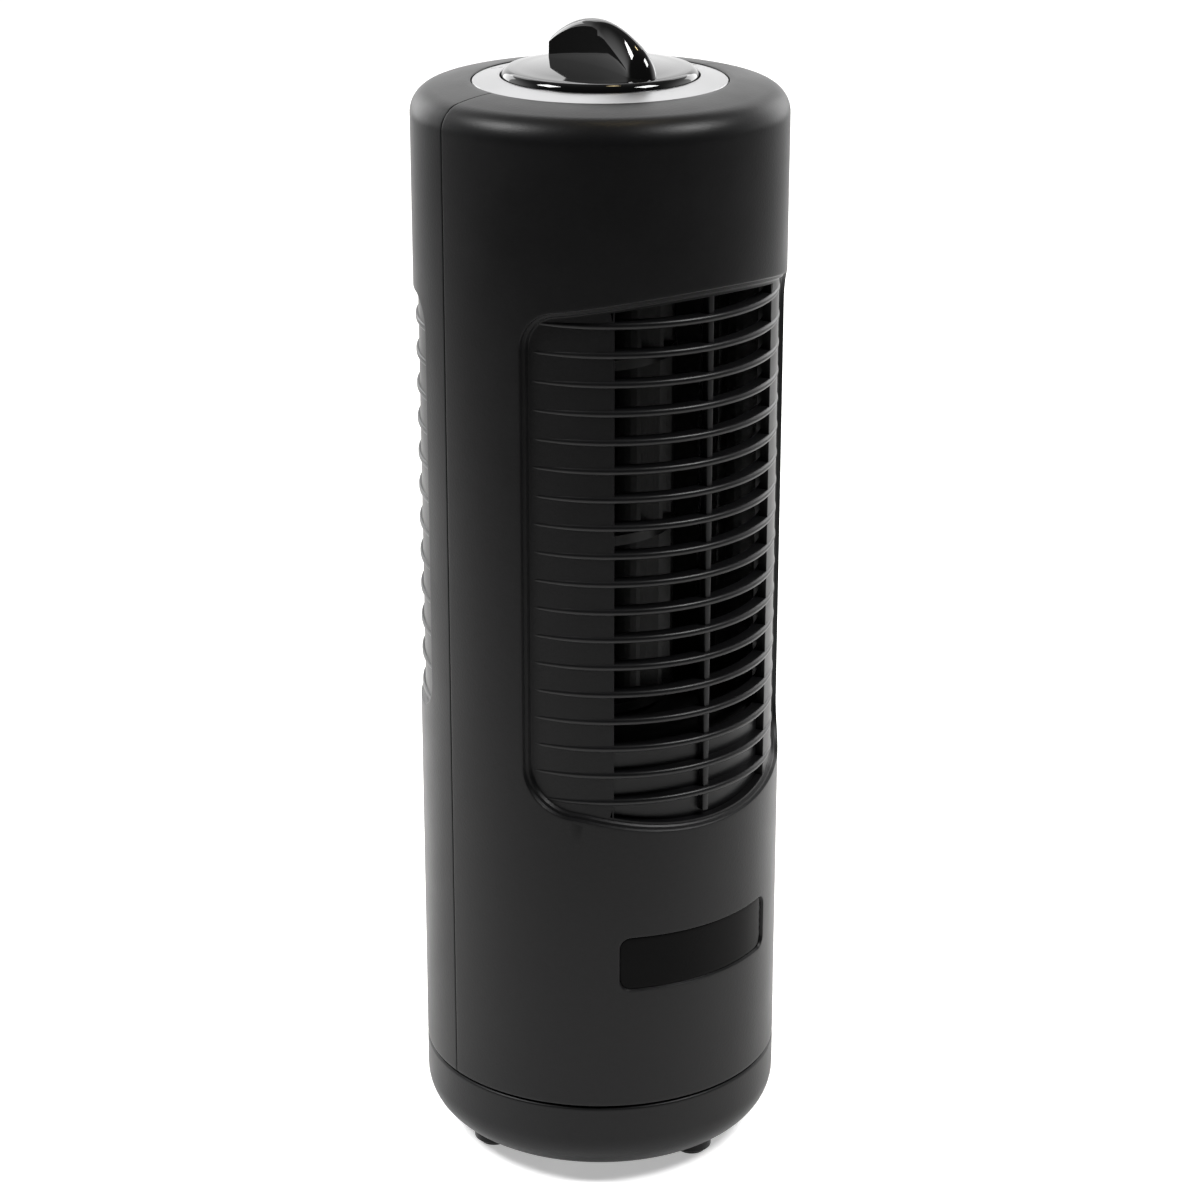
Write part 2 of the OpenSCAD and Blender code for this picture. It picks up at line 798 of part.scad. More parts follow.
module air_scroll() {
    n = 20;
    color("#2a2a2c") translate([0, 0, duct_top]) linear_extrude(roof_z - duct_top) polygon(concat(
        [for (i = [0:n]) scroll_point(i / n, 0)],
        [for (i = [n:-1:0]) scroll_point(i / n, scroll_t)]));
}

module air_tongue() {
    color("#2a2a2c") translate([0, 0, duct_top]) linear_extrude(roof_z - duct_top) polygon(concat(
        [[-27.9, -35.4], [-26.3, -35.4]],
        arc(-30.2, -25.2, 3.9, 3.9, 0, 70, 6),
        [[-40.2, -17.2], [-40.2, -18.9]],
        arc(-30.2, -25.2, 2.3, 2.3, 70, 0, 6)));
}

module top_bearing() {
    color("#b08d57") translate([impeller_x, 0, 0])
        tube(bush_r, stub_r + fit, roof_z - 1.5, roof_z + duct_plate_t + 2);
}

module wiring_harness() {
    h = harness_at;
    color("#303030") {
        wire([[0, 0, 33.4], [0, 0, 48], [h[0], h[1], 60], [h[0], h[1], 262], [16.4, 6, 288]], wire_r);
        wire([[h[0], h[1], 106], [9.2, 17, 106]], 1.2);
    }
}

// ---- top ----

module switch_plate() {
    color("#3a3a3c") difference() {
        rod([0, 0], 30, plate_z - 2.5, plate_z);
        rod([0, 0], bush_r + 0.1, plate_z - 4, plate_z + 1);
        for (phi = floor_screw_angles) rod(around(24, phi), 1.4, plate_z - 4, plate_z + 1);
    }
}

module switch_plate_screws() {
    color("silver") for (phi = floor_screw_angles)
        screw_up(around(24, phi), plate_z - 2.5, plate_z + 1.5, r = 1.2, head_r = 2.4, head_h = 1.6);
}

module rotary_switch() {
    color("#d9d4c4") difference() {
        union() {
            translate([-14, -14, plate_z - 15.5]) cube([28, 28, 13]);
            rod([0, 0], bush_r - 0.1, plate_z - 3, plate_z + 1.9);
        }
        rod([0, 0], shaft_r + fit, plate_z - 10, plate_z + 5);
    }
}

module switch_nut() {
    color("silver") difference() {
        translate([0, 0, plate_z]) cylinder(r = 8, h = 1.8, $fn = 6);
        rod([0, 0], bush_r - 0.1, plate_z - 1, plate_z + 3);
    }
}

module dial_ring() {
    edge = 0.5;
    color("#c9cacc") rotate_extrude() polygon([[ring_in_r, well_z], [ring_r, well_z],
        [ring_r, ring_out_z - edge], [ring_r - edge, ring_out_z + edge * tan(top_slope)],
        [ring_in_r + 0.3, ring_in_z], [ring_in_r, ring_in_z - 0.3]]);
}

// ---- impeller ----

function blade_point(r, side) = let (lean = 26 * (r - blade_in_r) / (impeller_r - blade_in_r))
    [r * cos(lean * 0.55) + side * blade_t / 2 * sin(lean - 8),
        r * sin(lean * 0.55) + side * blade_t / 2 * cos(lean - 8)];

module blade() {
    n = 5;
    tip_r = impeller_r - 0.5;
    polygon(concat(
        [for (i = [0:n]) blade_point(blade_in_r + (tip_r - blade_in_r) * i / n, -1)],
        [for (i = [n:-1:0]) blade_point(blade_in_r + (tip_r - blade_in_r) * i / n, 1)]));
}

module impeller() {
    last = len(disc_zs) - 1;
    color("#1d1d1f") translate([impeller_x, 0, 0]) {
        difference() {
            union() {
                for (i = [0:last])
                    tube(impeller_r, i == 0 || i == last ? 2 : blade_in_r - 0.6, disc_zs[i], disc_zs[i] + disc_t);
                rod([0, 0], hub_bush_r + 2, disc_zs[0], disc_zs[0] + 5);
                rod([0, 0], 6, disc_zs[last] - 4, disc_zs[last] + disc_t);
                for (k = [0:blade_count - 1]) rotate([0, 0, 360 * k / blade_count])
                    translate([0, 0, disc_zs[0] + 1]) linear_extrude(disc_zs[last] - disc_zs[0]) blade();
            }
            rod([0, 0], hub_bush_r, disc_zs[0] - 1, disc_zs[0] + 6);
            rod([0, 0], stub_r, disc_zs[last] - 5, disc_zs[last] + 5);
        }
    }
}

module drive_hub() {
    color("#2f2f2f") translate([impeller_x, 0, 0]) tube(hub_bush_r, shaft_r, 126, disc_zs[0] + 5);
}

module motor_shaft() {
    color("silver") rod([impeller_x, 0], shaft_r, 68, disc_zs[0] + 4.5);
}

module motor_rotor() {
    color("#9a9ca0") translate([impeller_x, 0, 0]) tube(rotor_r, shaft_r, stator_z - 1, stator_z + stator_h + 1);
}

module top_stub_shaft() {
    color("silver") rod([impeller_x, 0], stub_r, disc_zs[3] - 4, roof_z + duct_plate_t + 4);
}

// ---- dial ----

// Half width of the grip at a distance t from its middle
function grip_width(t) = let (u = abs(t) / grip_half, nose = 1 - pow(u, 10))
    (grip_waist_w + (grip_end_w - grip_waist_w) * pow(u, 1.6)) * sqrt(max(nose, 0));

module grip() {
    n = 28;
    ts = [for (i = [0:n]) grip_half * sin(90 * (2 * i / n - 1))];
    intersection() {
        translate([0, 0, dial_edge_z - 1]) linear_extrude(20) polygon(concat(
            [for (i = [0:n]) [grip_width(ts[i]), ts[i]]],
            [for (i = [n - 1:-1:1]) [-grip_width(ts[i]), ts[i]]]));
        translate([-10, 0, grip_top_z - grip_arc_r]) rotate([0, 90, 0]) cylinder(r = grip_arc_r, h = 20, $fn = 96);
    }
}

module control_dial() {
    dome_n = 6;
    dome_r = (pow(dial_r - dial_edge_r, 2) + pow(dial_dome_z - dial_edge_z, 2)) / (2 * (dial_dome_z - dial_edge_z));
    skirt_in = dial_r - 2;
    color("#0c0c0d") difference() {
        union() {
            rotate_extrude() polygon(concat(
                [[0, dial_bottom_z], [dial_r, dial_bottom_z]],
                arc(dial_r - dial_edge_r, dial_edge_z - dial_edge_r, dial_edge_r, dial_edge_r, 0, 84, 8),
                [for (i = [1:dome_n]) let (r = (dial_r - dial_edge_r) * (1 - i / dome_n))
                    [r, dial_dome_z - dome_r + sqrt(dome_r * dome_r - r * r)]]));
            grip();
        }
        difference() {
            rod([0, 0], skirt_in, dial_bottom_z - 1, dial_bottom_z + 2.2);
            rod([0, 0], 6, dial_bottom_z + 0.6, dial_bottom_z + 4);
        }
        rod([0, 0], shaft_r, dial_bottom_z - 1, dial_bottom_z + 3.4);
    }
}

module switch_shaft() {
    color("silver") rod([0, 0], shaft_r, plate_z - 9.8, dial_bottom_z + 3.3);
}

base_shell();
base_deck();
ballast_plate();
rubber_feet();
base_screws();
cord_gland();
supply_wires();
swing_motor();
swing_motor_screws();
glide_ring();
pivot_retainer();
retainer_screws();
swing_shaft();
crank_arm();
crank_roller();
tower_floor();
floor_screws();
front_shell();
rear_shell();
shell_screws();
badge_plate();
motor_lower_bracket();
motor_upper_bracket();
stator_core();
field_coils();
lower_bearing();
upper_bearing();
motor_bolts();
duct_floor();
duct_roof();
air_scroll();
air_tongue();
top_bearing();
wiring_harness();
switch_plate();
switch_plate_screws();
rotary_switch();
switch_nut();
dial_ring();
impeller();
drive_hub();
motor_shaft();
motor_rotor();
top_stub_shaft();
control_dial();
switch_shaft();
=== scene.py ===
"""Looks for the small tower fan: its shells, grilles, ring, dial and base, with light and camera."""
import math

import bmesh
import bpy
import numpy as np
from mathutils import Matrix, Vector
from mathutils.geometry import delaunay_2d_cdt


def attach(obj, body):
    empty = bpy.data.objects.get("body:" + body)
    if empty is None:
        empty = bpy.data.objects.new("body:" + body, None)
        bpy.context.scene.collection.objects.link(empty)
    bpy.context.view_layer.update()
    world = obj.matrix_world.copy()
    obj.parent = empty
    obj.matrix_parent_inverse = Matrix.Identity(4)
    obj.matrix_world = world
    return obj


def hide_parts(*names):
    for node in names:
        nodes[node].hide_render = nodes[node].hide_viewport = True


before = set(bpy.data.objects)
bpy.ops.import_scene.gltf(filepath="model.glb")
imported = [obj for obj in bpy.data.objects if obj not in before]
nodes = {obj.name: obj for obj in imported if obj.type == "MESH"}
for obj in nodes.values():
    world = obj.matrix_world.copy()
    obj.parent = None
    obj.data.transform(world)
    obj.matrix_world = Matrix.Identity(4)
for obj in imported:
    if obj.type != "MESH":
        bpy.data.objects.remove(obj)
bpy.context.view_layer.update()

# Sizes in millimetres, in the same frame as the model
MM = 0.001
BODY_R = 50.0
INNER_R = 47.6
HALF_GAP = 0.1
TOWER_Z = 25.55
SHOULDER_Z = 293.5
SHOULDER_R = 7.0
SEAT_R = 33.95
WELL_Z = 299.7
SLAT_COUNT = 18
SLAT_Z = 116.5
SLAT_PITCH = 7.72
RIB_COUNT = 12
RIB_Z = 133.8
RIB_PITCH = 9.55
BOSS_X = 36.0
BOSS_ZS = (45.0, 280.0)
OUTLET_X = 26.2
OUTLET_Z = 131.94
STRUT_HALF = 0.9
HOLE_R = 3.2
BADGE_HALF = 25.0
BADGE_LOW = 60.8
BADGE_HIGH = 76.9
BADGE_CORNER = 3.4
BADGE_GAP = 0.3
FOOT_PLACE_R = 37.5
BASE_SCREW = (30.0, 24.0)
GLAND_Z = 15.2
NUMBER_R = 31.0

# Angles in degrees, from the front towards the right
FOOT_ANGLES = (-90, 8, 90, 188)
MARK_START = 90
MARK_STEP = 30

# The ring's slope, the plain numbers on it, and the scale of the colour patches
RING_FALL = 1.4 / 7.38
NUMBERS = ("3", "2", "1", "0", "1")
PATCH_SCALE = 40.0


# ---- small tools ----

def make_object(name, verts, faces, material, body, sharp=35.0, slot=None):
    """A mesh object from points in millimetres that rides on one body of the model."""
    mesh = bpy.data.meshes.new(name)
    mesh.from_pydata([(x * MM, y * MM, z * MM) for x, y, z in verts], [], faces)
    mesh.validate()
    obj = bpy.data.objects.new(name, mesh)
    bpy.context.scene.collection.objects.link(obj)
    tidy(obj, sharp)
    mesh.materials.append(material)
    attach(obj, body)
    return obj


def tidy(obj, sharp):
    """Weld doubled points, point the faces outwards and shade smooth, except at sharp edges."""
    bm = bmesh.new()
    bm.from_mesh(obj.data)
    bmesh.ops.remove_doubles(bm, verts=bm.verts, dist=1e-7)
    bmesh.ops.recalc_face_normals(bm, faces=bm.faces)
    bm.to_mesh(obj.data)
    bm.free()
    for face in obj.data.polygons:
        face.use_smooth = True
    obj.data.set_sharp_from_angle(angle=math.radians(sharp))


def lathe(profile, count=160, centre=(0.0, 0.0)):
    """Points and faces of a closed ring swept round Z from a closed profile of (r, z)."""
    verts, faces = [], []
    n = len(profile)
    for k in range(count):
        a = 2 * math.pi * k / count
        for r, z in profile:
            verts.append((centre[0] + r * math.cos(a), centre[1] + r * math.sin(a), z))
    for k in range(count):
        k2 = (k + 1) % count
        for i in range(n):
            j = (i + 1) % n
            faces.append((k * n + i, k2 * n + i, k2 * n + j, k * n + j))
    return verts, faces


def lathe_solid(profile, count=160, centre=(0.0, 0.0)):
    """Points and faces of a solid swept round Z from an open profile that starts and ends on the axis."""
    verts, faces = [], []
    inner = profile[1:-1]
    n = len(inner)
    for k in range(count):
        a = 2 * math.pi * k / count
        for r, z in inner:
            verts.append((centre[0] + r * math.cos(a), centre[1] + r * math.sin(a), z))
    low = len(verts)
    verts.append((centre[0], centre[1], profile[0][1]))
    verts.append((centre[0], centre[1], profile[-1][1]))
    for k in range(count):
        k2 = (k + 1) % count
        for i in range(n - 1):
            faces.append((k * n + i, k2 * n + i, k2 * n + i + 1, k * n + i + 1))
        faces.append((low, k2 * n, k * n))
        faces.append((low + 1, k * n + n - 1, k2 * n + n - 1))
    return verts, faces


def arc(cx, cy, r, start, end, steps):
    """Points (x, y) on a circle from one angle to another, in degrees."""
    return [(cx + r * math.cos(math.radians(start + (end - start) * i / steps)),
             cy + r * math.sin(math.radians(start + (end - start) * i / steps)))
            for i in range(steps + 1)]


def inside(points, loop):
    """Which of the points lie inside the closed loop."""
    pts = np.asarray(points, float)
    ring = np.asarray(loop, float)
    hit = np.zeros(len(pts), bool)
    j = len(ring) - 1
    for i in range(len(ring)):
        xi, yi = ring[i]
        xj, yj = ring[j]
        if yi != yj:
            cross = (yi > pts[:, 1]) != (yj > pts[:, 1])
            x = (xj - xi) * (pts[:, 1] - yi) / (yj - yi) + xi
            hit ^= cross & (pts[:, 0] < x)
        j = i
    return hit


def away_from(points, loop, distance):
    """Which of the points are further than a distance from the loop's own points."""
    pts = np.asarray(points, float)
    ring = np.asarray(loop, float)
    gap = np.sqrt(((pts[:, None, :] - ring[None, :, :]) ** 2).sum(2)).min(1)
    return gap > distance


def offset_loop(loop, amounts):
    """The loop moved towards its inside, each point by its own amount."""
    ring = np.asarray(loop, float)
    along = np.roll(ring, -1, 0) - np.roll(ring, 1, 0)
    along /= np.linalg.norm(along, axis=1)[:, None]
    inward = np.c_[-along[:, 1], along[:, 0]]
    return ring + inward * np.asarray(amounts, float)[:, None]


def triangulate(points, loops):
    """Triangles over the points, with the loops (lists of point numbers) kept as edges."""
    edges = []
    for loop in loops:
        edges += [(loop[i], loop[(i + 1) % len(loop)]) for i in range(len(loop))]
    got = delaunay_2d_cdt([Vector(p) for p in points], edges, [], 0, 1e-6)
    back = [src[0] if src else -1 for src in got[3]]
    return [tuple(back[v] for v in face) for face in got[2]]


def rounding(distance, radius):
    """How far a rounded edge drops at a distance from the edge."""
    if distance >= radius:
        return 0.0
    return radius - math.sqrt(max(radius ** 2 - (radius - distance) ** 2, 0.0))


# ---- materials ----

def new_material(name):
    """A material with nodes, and the nodes that every material here needs."""
    material = bpy.data.materials.new(name)
    material.use_nodes = True
    tree = material.node_tree
    shader = tree.nodes["Principled BSDF"]
    coords = tree.nodes.new("ShaderNodeTexCoord")
    return material, tree, shader, coords


def noise_node(tree, coords, scale, detail=2.0, rough=0.5, stretch=None):
    """Noise in the object's own coordinates, stretched along its axes if asked."""
    noise = tree.nodes.new("ShaderNodeTexNoise")
    noise.inputs["Scale"].default_value = scale
    noise.inputs["Detail"].default_value = detail
    noise.inputs["Roughness"].default_value = rough
    source = coords.outputs["Object"]
    if stretch:
        mapping = tree.nodes.new("ShaderNodeMapping")
        mapping.inputs["Scale"].default_value = stretch
        tree.links.new(source, mapping.inputs["Vector"])
        source = mapping.outputs["Vector"]
    tree.links.new(source, noise.inputs["Vector"])
    return noise


def spread(tree, noise, low, high):
    """The middle of the noise spread over a range of values."""
    ranged = tree.nodes.new("ShaderNodeMapRange")
    ranged.inputs["From Min"].default_value = 0.3
    ranged.inputs["From Max"].default_value = 0.7
    ranged.inputs["To Min"].default_value = low
    ranged.inputs["To Max"].default_value = high
    tree.links.new(noise.outputs["Fac"], ranged.inputs["Value"])
    return ranged


def surface(name, dark, light, rough, grain, depth, metal=0.0, stretch=None, specular=0.5):
    """A material with a colour that varies in patches, roughness that varies, and a fine bump."""
    material, tree, shader, coords = new_material(name)
    broad = noise_node(tree, coords, PATCH_SCALE, 3.0, 0.6)
    ramp = tree.nodes.new("ShaderNodeValToRGB")
    ramp.color_ramp.elements[0].position = 0.3
    ramp.color_ramp.elements[0].color = (*dark, 1)
    ramp.color_ramp.elements[1].position = 0.7
    ramp.color_ramp.elements[1].color = (*light, 1)
    tree.links.new(broad.outputs["Fac"], ramp.inputs["Fac"])
    tree.links.new(ramp.outputs["Color"], shader.inputs["Base Color"])
    fine = noise_node(tree, coords, 1000.0 / grain, 2.0, 0.55, stretch)
    shine = spread(tree, broad, rough[0], rough[1])
    tree.links.new(shine.outputs["Result"], shader.inputs["Roughness"])
    bump = tree.nodes.new("ShaderNodeBump")
    bump.inputs["Strength"].default_value = 1.0
    bump.inputs["Distance"].default_value = depth * MM
    tree.links.new(fine.outputs["Fac"], bump.inputs["Height"])
    tree.links.new(bump.outputs["Normal"], shader.inputs["Normal"])
    shader.inputs["Metallic"].default_value = metal
    shader.inputs["Specular IOR Level"].default_value = specular
    return material


def grey(v, tint=0.0):
    """A grey with a little blue added."""
    return (v, v, v + tint)


BODY = surface("body_plastic", grey(0.0030, 0.0002), grey(0.0040, 0.0003), (0.36, 0.42), 0.70, 0.030,
               specular=0.145)
BASE = surface("base_plastic", grey(0.0034, 0.0002), grey(0.0044, 0.0003), (0.37, 0.43), 0.70, 0.030,
               specular=0.145)
SLAT = surface("slat_plastic", grey(0.0030, 0.0002), grey(0.0040, 0.0003), (0.33, 0.39), 0.45, 0.010,
               specular=0.2)
BADGE = surface("badge_plastic", grey(0.0012), grey(0.0018), (0.22, 0.28), 0.80, 0.003, specular=0.035)
INNER = surface("inner_plastic", grey(0.0060), grey(0.0085), (0.34, 0.42), 0.60, 0.008)
DUCT = surface("duct_plastic", grey(0.0160), grey(0.0220), (0.16, 0.22), 1.50, 0.008)
BLADE = surface("blade_plastic", grey(0.0035), grey(0.0050), (0.32, 0.40), 0.80, 0.008, specular=0.3)
GLOSS = surface("dial_gloss", grey(0.0028), grey(0.0036), (0.04, 0.06), 3.0, 0.0012, specular=0.4)
RING = surface("ring_satin", (0.27, 0.27, 0.274), (0.31, 0.31, 0.314), (0.30, 0.36), 0.35, 0.004, metal=1.0)
MARK = surface("mark_ink", grey(0.03), grey(0.05), (0.50, 0.60), 0.30, 0.003)
RUBBER = surface("foot_rubber", grey(0.012), grey(0.020), (0.60, 0.75), 0.50, 0.020)
WIRE = surface("wire_cover", grey(0.020), grey(0.030), (0.40, 0.50), 0.60, 0.006)
ZINC = surface("screw_steel", (0.48, 0.48, 0.47), (0.60, 0.60, 0.58), (0.28, 0.40), 0.25, 0.006, metal=1.0)
GROUND = surface("shaft_steel", (0.55, 0.55, 0.56), (0.63, 0.63, 0.64), (0.18, 0.26), 0.20, 0.002,
                 metal=1.0, stretch=(1.0, 1.0, 14.0))
LAMINATE = surface("core_steel", (0.22, 0.22, 0.23), (0.34, 0.34, 0.36), (0.35, 0.5), 0.5, 0.030, metal=1.0,
                   stretch=(0.05, 0.05, 1.0))
CAN = surface("can_steel", (0.42, 0.42, 0.40), (0.55, 0.55, 0.52), (0.30, 0.42), 0.5, 0.008, metal=1.0)
IRON = surface("ballast_iron", (0.06, 0.06, 0.062), (0.11, 0.11, 0.11), (0.50, 0.65), 0.7, 0.040, metal=0.7)
BRONZE = surface("bearing_bronze", (0.36, 0.23, 0.10), (0.46, 0.30, 0.14), (0.35, 0.45), 0.3, 0.010,
                 metal=1.0)
COPPER = surface("coil_copper", (0.30, 0.10, 0.035), (0.42, 0.16, 0.06), (0.22, 0.34), 0.45, 0.060,
                 metal=0.8, stretch=(0.06, 0.06, 1.0))
CAST = surface("bracket_metal", (0.45, 0.45, 0.46), (0.56, 0.56, 0.57), (0.38, 0.50), 0.4, 0.014, metal=1.0)
ACETAL = surface("slide_plastic", (0.66, 0.65, 0.60), (0.74, 0.73, 0.68), (0.30, 0.40), 0.6, 0.006)
SWITCH = surface("switch_plastic", (0.42, 0.38, 0.28), (0.52, 0.47, 0.36), (0.40, 0.50), 0.5, 0.008)

LOOK = {
    "base_deck": INNER, "ballast_plate": IRON, "rubber_feet": RUBBER, "base_screws": ZINC,
    "cord_gland": RUBBER, "supply_wires": WIRE, "swing_motor": CAN, "swing_motor_screws": ZINC,
    "glide_ring": ACETAL, "pivot_retainer": CAN, "retainer_screws": ZINC, "swing_shaft": GROUND,
    "crank_arm": ACETAL, "crank_roller": ACETAL, "tower_floor": INNER, "floor_screws": ZINC,
    "shell_screws": ZINC, "motor_lower_bracket": CAST, "motor_upper_bracket": CAST,
    "stator_core": LAMINATE, "field_coils": COPPER, "lower_bearing": BRONZE, "upper_bearing": BRONZE,
    "motor_bolts": ZINC, "duct_floor": INNER, "duct_roof": INNER, "air_scroll": DUCT, "air_tongue": DUCT,
    "top_bearing": BRONZE, "wiring_harness": WIRE, "switch_plate": INNER, "switch_plate_screws": ZINC,
    "rotary_switch": SWITCH, "switch_nut": ZINC, "impeller": BLADE, "drive_hub": RUBBER,
    "motor_shaft": GROUND, "motor_rotor": LAMINATE, "top_stub_shaft": GROUND, "switch_shaft": GROUND,
    "base_shell": BASE, "front_shell": BODY, "rear_shell": BODY, "badge_plate": BADGE,
    "dial_ring": RING, "control_dial": GLOSS,
}
for node_name, look in LOOK.items():
    node = nodes[node_name]
    node.data.materials.clear()
    node.data.materials.append(look)
for node_name in ("rubber_feet", "cord_gland", "duct_floor", "duct_roof", "motor_lower_bracket",
                  "motor_upper_bracket", "rotary_switch", "ballast_plate", "tower_floor", "switch_nut"):
    bevel = nodes[node_name].modifiers.new("edges", "BEVEL")
    bevel.width = 0.25 * MM
    bevel.segments = 2
    bevel.limit_method = "ANGLE"
    bevel.angle_limit = math.radians(40)


# ---- half shells ----

def rounded_path(points, radii, steps=4):
    """The path with an arc of its own radius at each inner corner."""
    path = [points[0]]
    for k in range(1, len(points) - 1):
        here = Vector(points[k])
        back = (Vector(points[k - 1]) - here).normalized()
        ahead = (Vector(points[k + 1]) - here).normalized()
        half = math.acos(max(min(back.dot(ahead), 1.0), -1.0)) / 2
        reach = radii[k - 1] / math.tan(half)
        centre = here + (back + ahead).normalized() * (radii[k - 1] / math.sin(half))
        first = here + back * reach - centre
        turn = math.pi - 2 * half
        sign = 1.0 if first.x * ahead.y - first.y * ahead.x > 0 else -1.0
        for i in range(steps + 1):
            a = sign * turn * i / steps
            c, s = math.cos(a), math.sin(a)
            path.append((centre.x + first.x * c - first.y * s, centre.y + first.x * s + first.y * c))
    path.append(points[-1])
    return path


def plain_wall(depth):
    """Rows (inward distance, depth) down one steep wall."""
    return rounded_path([(-0.9, 0.0), (0.0, 0.0), (0.3, depth), (0.8, depth)], [0.22, 0.15])


def soft_wall(depth):
    """Rows down a sloped wall with soft edges."""
    foot = 0.8 * depth
    return rounded_path([(-0.9, 0.0), (0.0, 0.0), (foot, depth), (foot + 0.6, depth)], [0.45, 0.45])


def stepped_wall(depth):
    """Rows down a wall with a narrow ledge part of the way."""
    ledge = 0.45 * depth
    return rounded_path([(-0.9, 0.0), (0.0, 0.0), (0.32, ledge), (1.05, ledge + 0.06 * depth), (1.55, depth),
                         (2.2, depth)], [0.24, 0.14, 0.2, 0.42])


def half_shell(name, turn, loops, window, holes):
    """One half of the tower as a closed solid.

    It is drawn flat, as arc length and height, and then wrapped round the body. loops are sunk areas,
    each with its depth as a function of angle; window is cut through the first of them, and holes are
    round openings for the screws.
    """
    s_max = BODY_R * (math.pi / 2 - HALF_GAP / BODY_R)
    edge = [0.0, 0.02, 0.07, 0.15, 0.25, 0.8]
    inner_s = np.linspace(-s_max + 2.4, s_max - 2.4, 63)
    columns = sorted([-s_max + e for e in edge] + list(inner_s) + [s_max - e for e in edge])
    rows = [TOWER_Z + e for e in (0.0, 0.05, 0.16, 0.32, 0.6, 1.2)]
    rows += list(np.linspace(30.0, SHOULDER_Z - 1.0, 50)) + [SHOULDER_Z]
    table = []
    faces = []

    def add(s, z, drop, inner):
        table.append((s, z, drop, inner))
        return len(table) - 1

    grid = np.array([(s, z) for s in columns for z in rows])
    keep = np.ones(len(grid), bool)
    rings = []
    for outline, depth_at, wall_at, floor_in in loops:
        outline = np.asarray(outline, float)
        angles = outline[:, 0] / BODY_R
        depths = [depth_at(a) for a in angles]
        profiles = [wall_at(d) for d in depths]
        ring_rows = []
        for k in range(len(profiles[0])):
            line = offset_loop(outline, [p[k][0] for p in profiles])
            row = []
            for (s, z), p, d in zip(line, profiles, depths):
                share = p[k][1] / d
                drop = share * depth_at(s / BODY_R)
                inner = INNER_R + (floor_in(s / BODY_R) - INNER_R) * share
                row.append(add(s, z, drop, inner))
            ring_rows.append(row)
        for a, b in zip(ring_rows, ring_rows[1:]):
            n = len(a)
            for i in range(n):
                j = (i + 1) % n
                faces.append((a[i], a[j], b[j], b[i]))
        outer_line = [table[i][:2] for i in ring_rows[0]]
        keep &= ~inside(grid, outer_line)
        keep &= away_from(grid, outer_line, 1.1)
        rings.append((ring_rows[0], ring_rows[-1], depth_at, floor_in))
    hole_rings = []
    for line in holes:
        line = np.asarray(line, float)
        n = len(line)
        first = None
        previous = None
        for out, drop in ((-0.6, 0.0), (-0.3, 0.0), (-0.08, 0.06), (0.0, 0.25)):
            moved = offset_loop(line, [out] * n)
            row = [add(s, z, drop, INNER_R) for s, z in moved]
            if previous:
                for i in range(n):
                    j = (i + 1) % n
                    faces.append((previous[i], previous[j], row[j], row[i]))
            else:
                first = row
            previous = row
        outer_line = [table[i][:2] for i in first]
        keep &= ~inside(grid, outer_line)
        keep &= away_from(grid, outer_line, 0.9)
        hole_rings.append(first)

    # the plain skin round the sunk areas
    index = [add(s, z, 0.0, INNER_R) for (s, z), k in zip(grid, keep) if k]
    bounds = [r[0] for r in rings] + hole_rings
    ids = index + [i for ring in bounds for i in ring]
    spot = {v: k for k, v in enumerate(ids)}
    triangles = triangulate([table[i][:2] for i in ids], [[spot[i] for i in ring] for ring in bounds])
    triangles = np.array([t for t in triangles if len(t) == 3 and min(t) >= 0])
    centres = np.array([table[i][:2] for i in ids])[triangles].mean(1)
    good = np.ones(len(centres), bool)
    for ring in bounds:
        good &= ~inside(centres, [table[i][:2] for i in ring])
    faces += [tuple(ids[v] for v in t) for t, g in zip(triangles, good) if g]

    # the floor of each sunk area
    for number, (_, last, depth_at, floor_in) in enumerate(rings):
        last_line = [table[i][:2] for i in last]
        within = inside(grid, last_line) & away_from(grid, last_line, 0.9)
        cuts = []
        if number == 0 and window is not None:
            line = np.asarray(window, float)
            n = len(line)
            previous = None
            for out, drop in ((-0.5, 0.0), (-0.18, 0.0), (-0.05, 0.05), (0.0, 0.2)):
                moved = offset_loop(line, [out] * n)
                row = [add(s, z, depth_at(s / BODY_R) + drop, floor_in(s / BODY_R)) for s, z in moved]
                if previous:
                    for i in range(n):
                        j = (i + 1) % n
                        faces.append((previous[i], previous[j], row[j], row[i]))
                else:
                    cuts.append(row)
                previous = row
            cut_line = [table[i][:2] for i in cuts[0]]
            within &= ~inside(grid, cut_line) & away_from(grid, cut_line, 0.7)
        index = [add(s, z, depth_at(s / BODY_R), floor_in(s / BODY_R))
                 for (s, z), k in zip(grid, within) if k]
        ids = index + list(last) + [i for c in cuts for i in c]
        spot = {v: k for k, v in enumerate(ids)}
        triangles = triangulate([table[i][:2] for i in ids],
                                [[spot[i] for i in ring] for ring in [last] + cuts])
        triangles = np.array([t for t in triangles if len(t) == 3 and min(t) >= 0])
        centres = np.array([table[i][:2] for i in ids])[triangles].mean(1)
        good = inside(centres, last_line)
        for c in cuts:
            good &= ~inside(centres, [table[i][:2] for i in c])
        faces += [tuple(ids[v] for v in t) for t, g in zip(triangles, good) if g]

    # wrap round the body, outside and inside
    def wrapped(s, z, r):
        a = s / BODY_R + turn
        return (r * math.sin(a), -r * math.cos(a), z)

    def dip(s):
        return rounding(s_max - abs(s), 0.25)

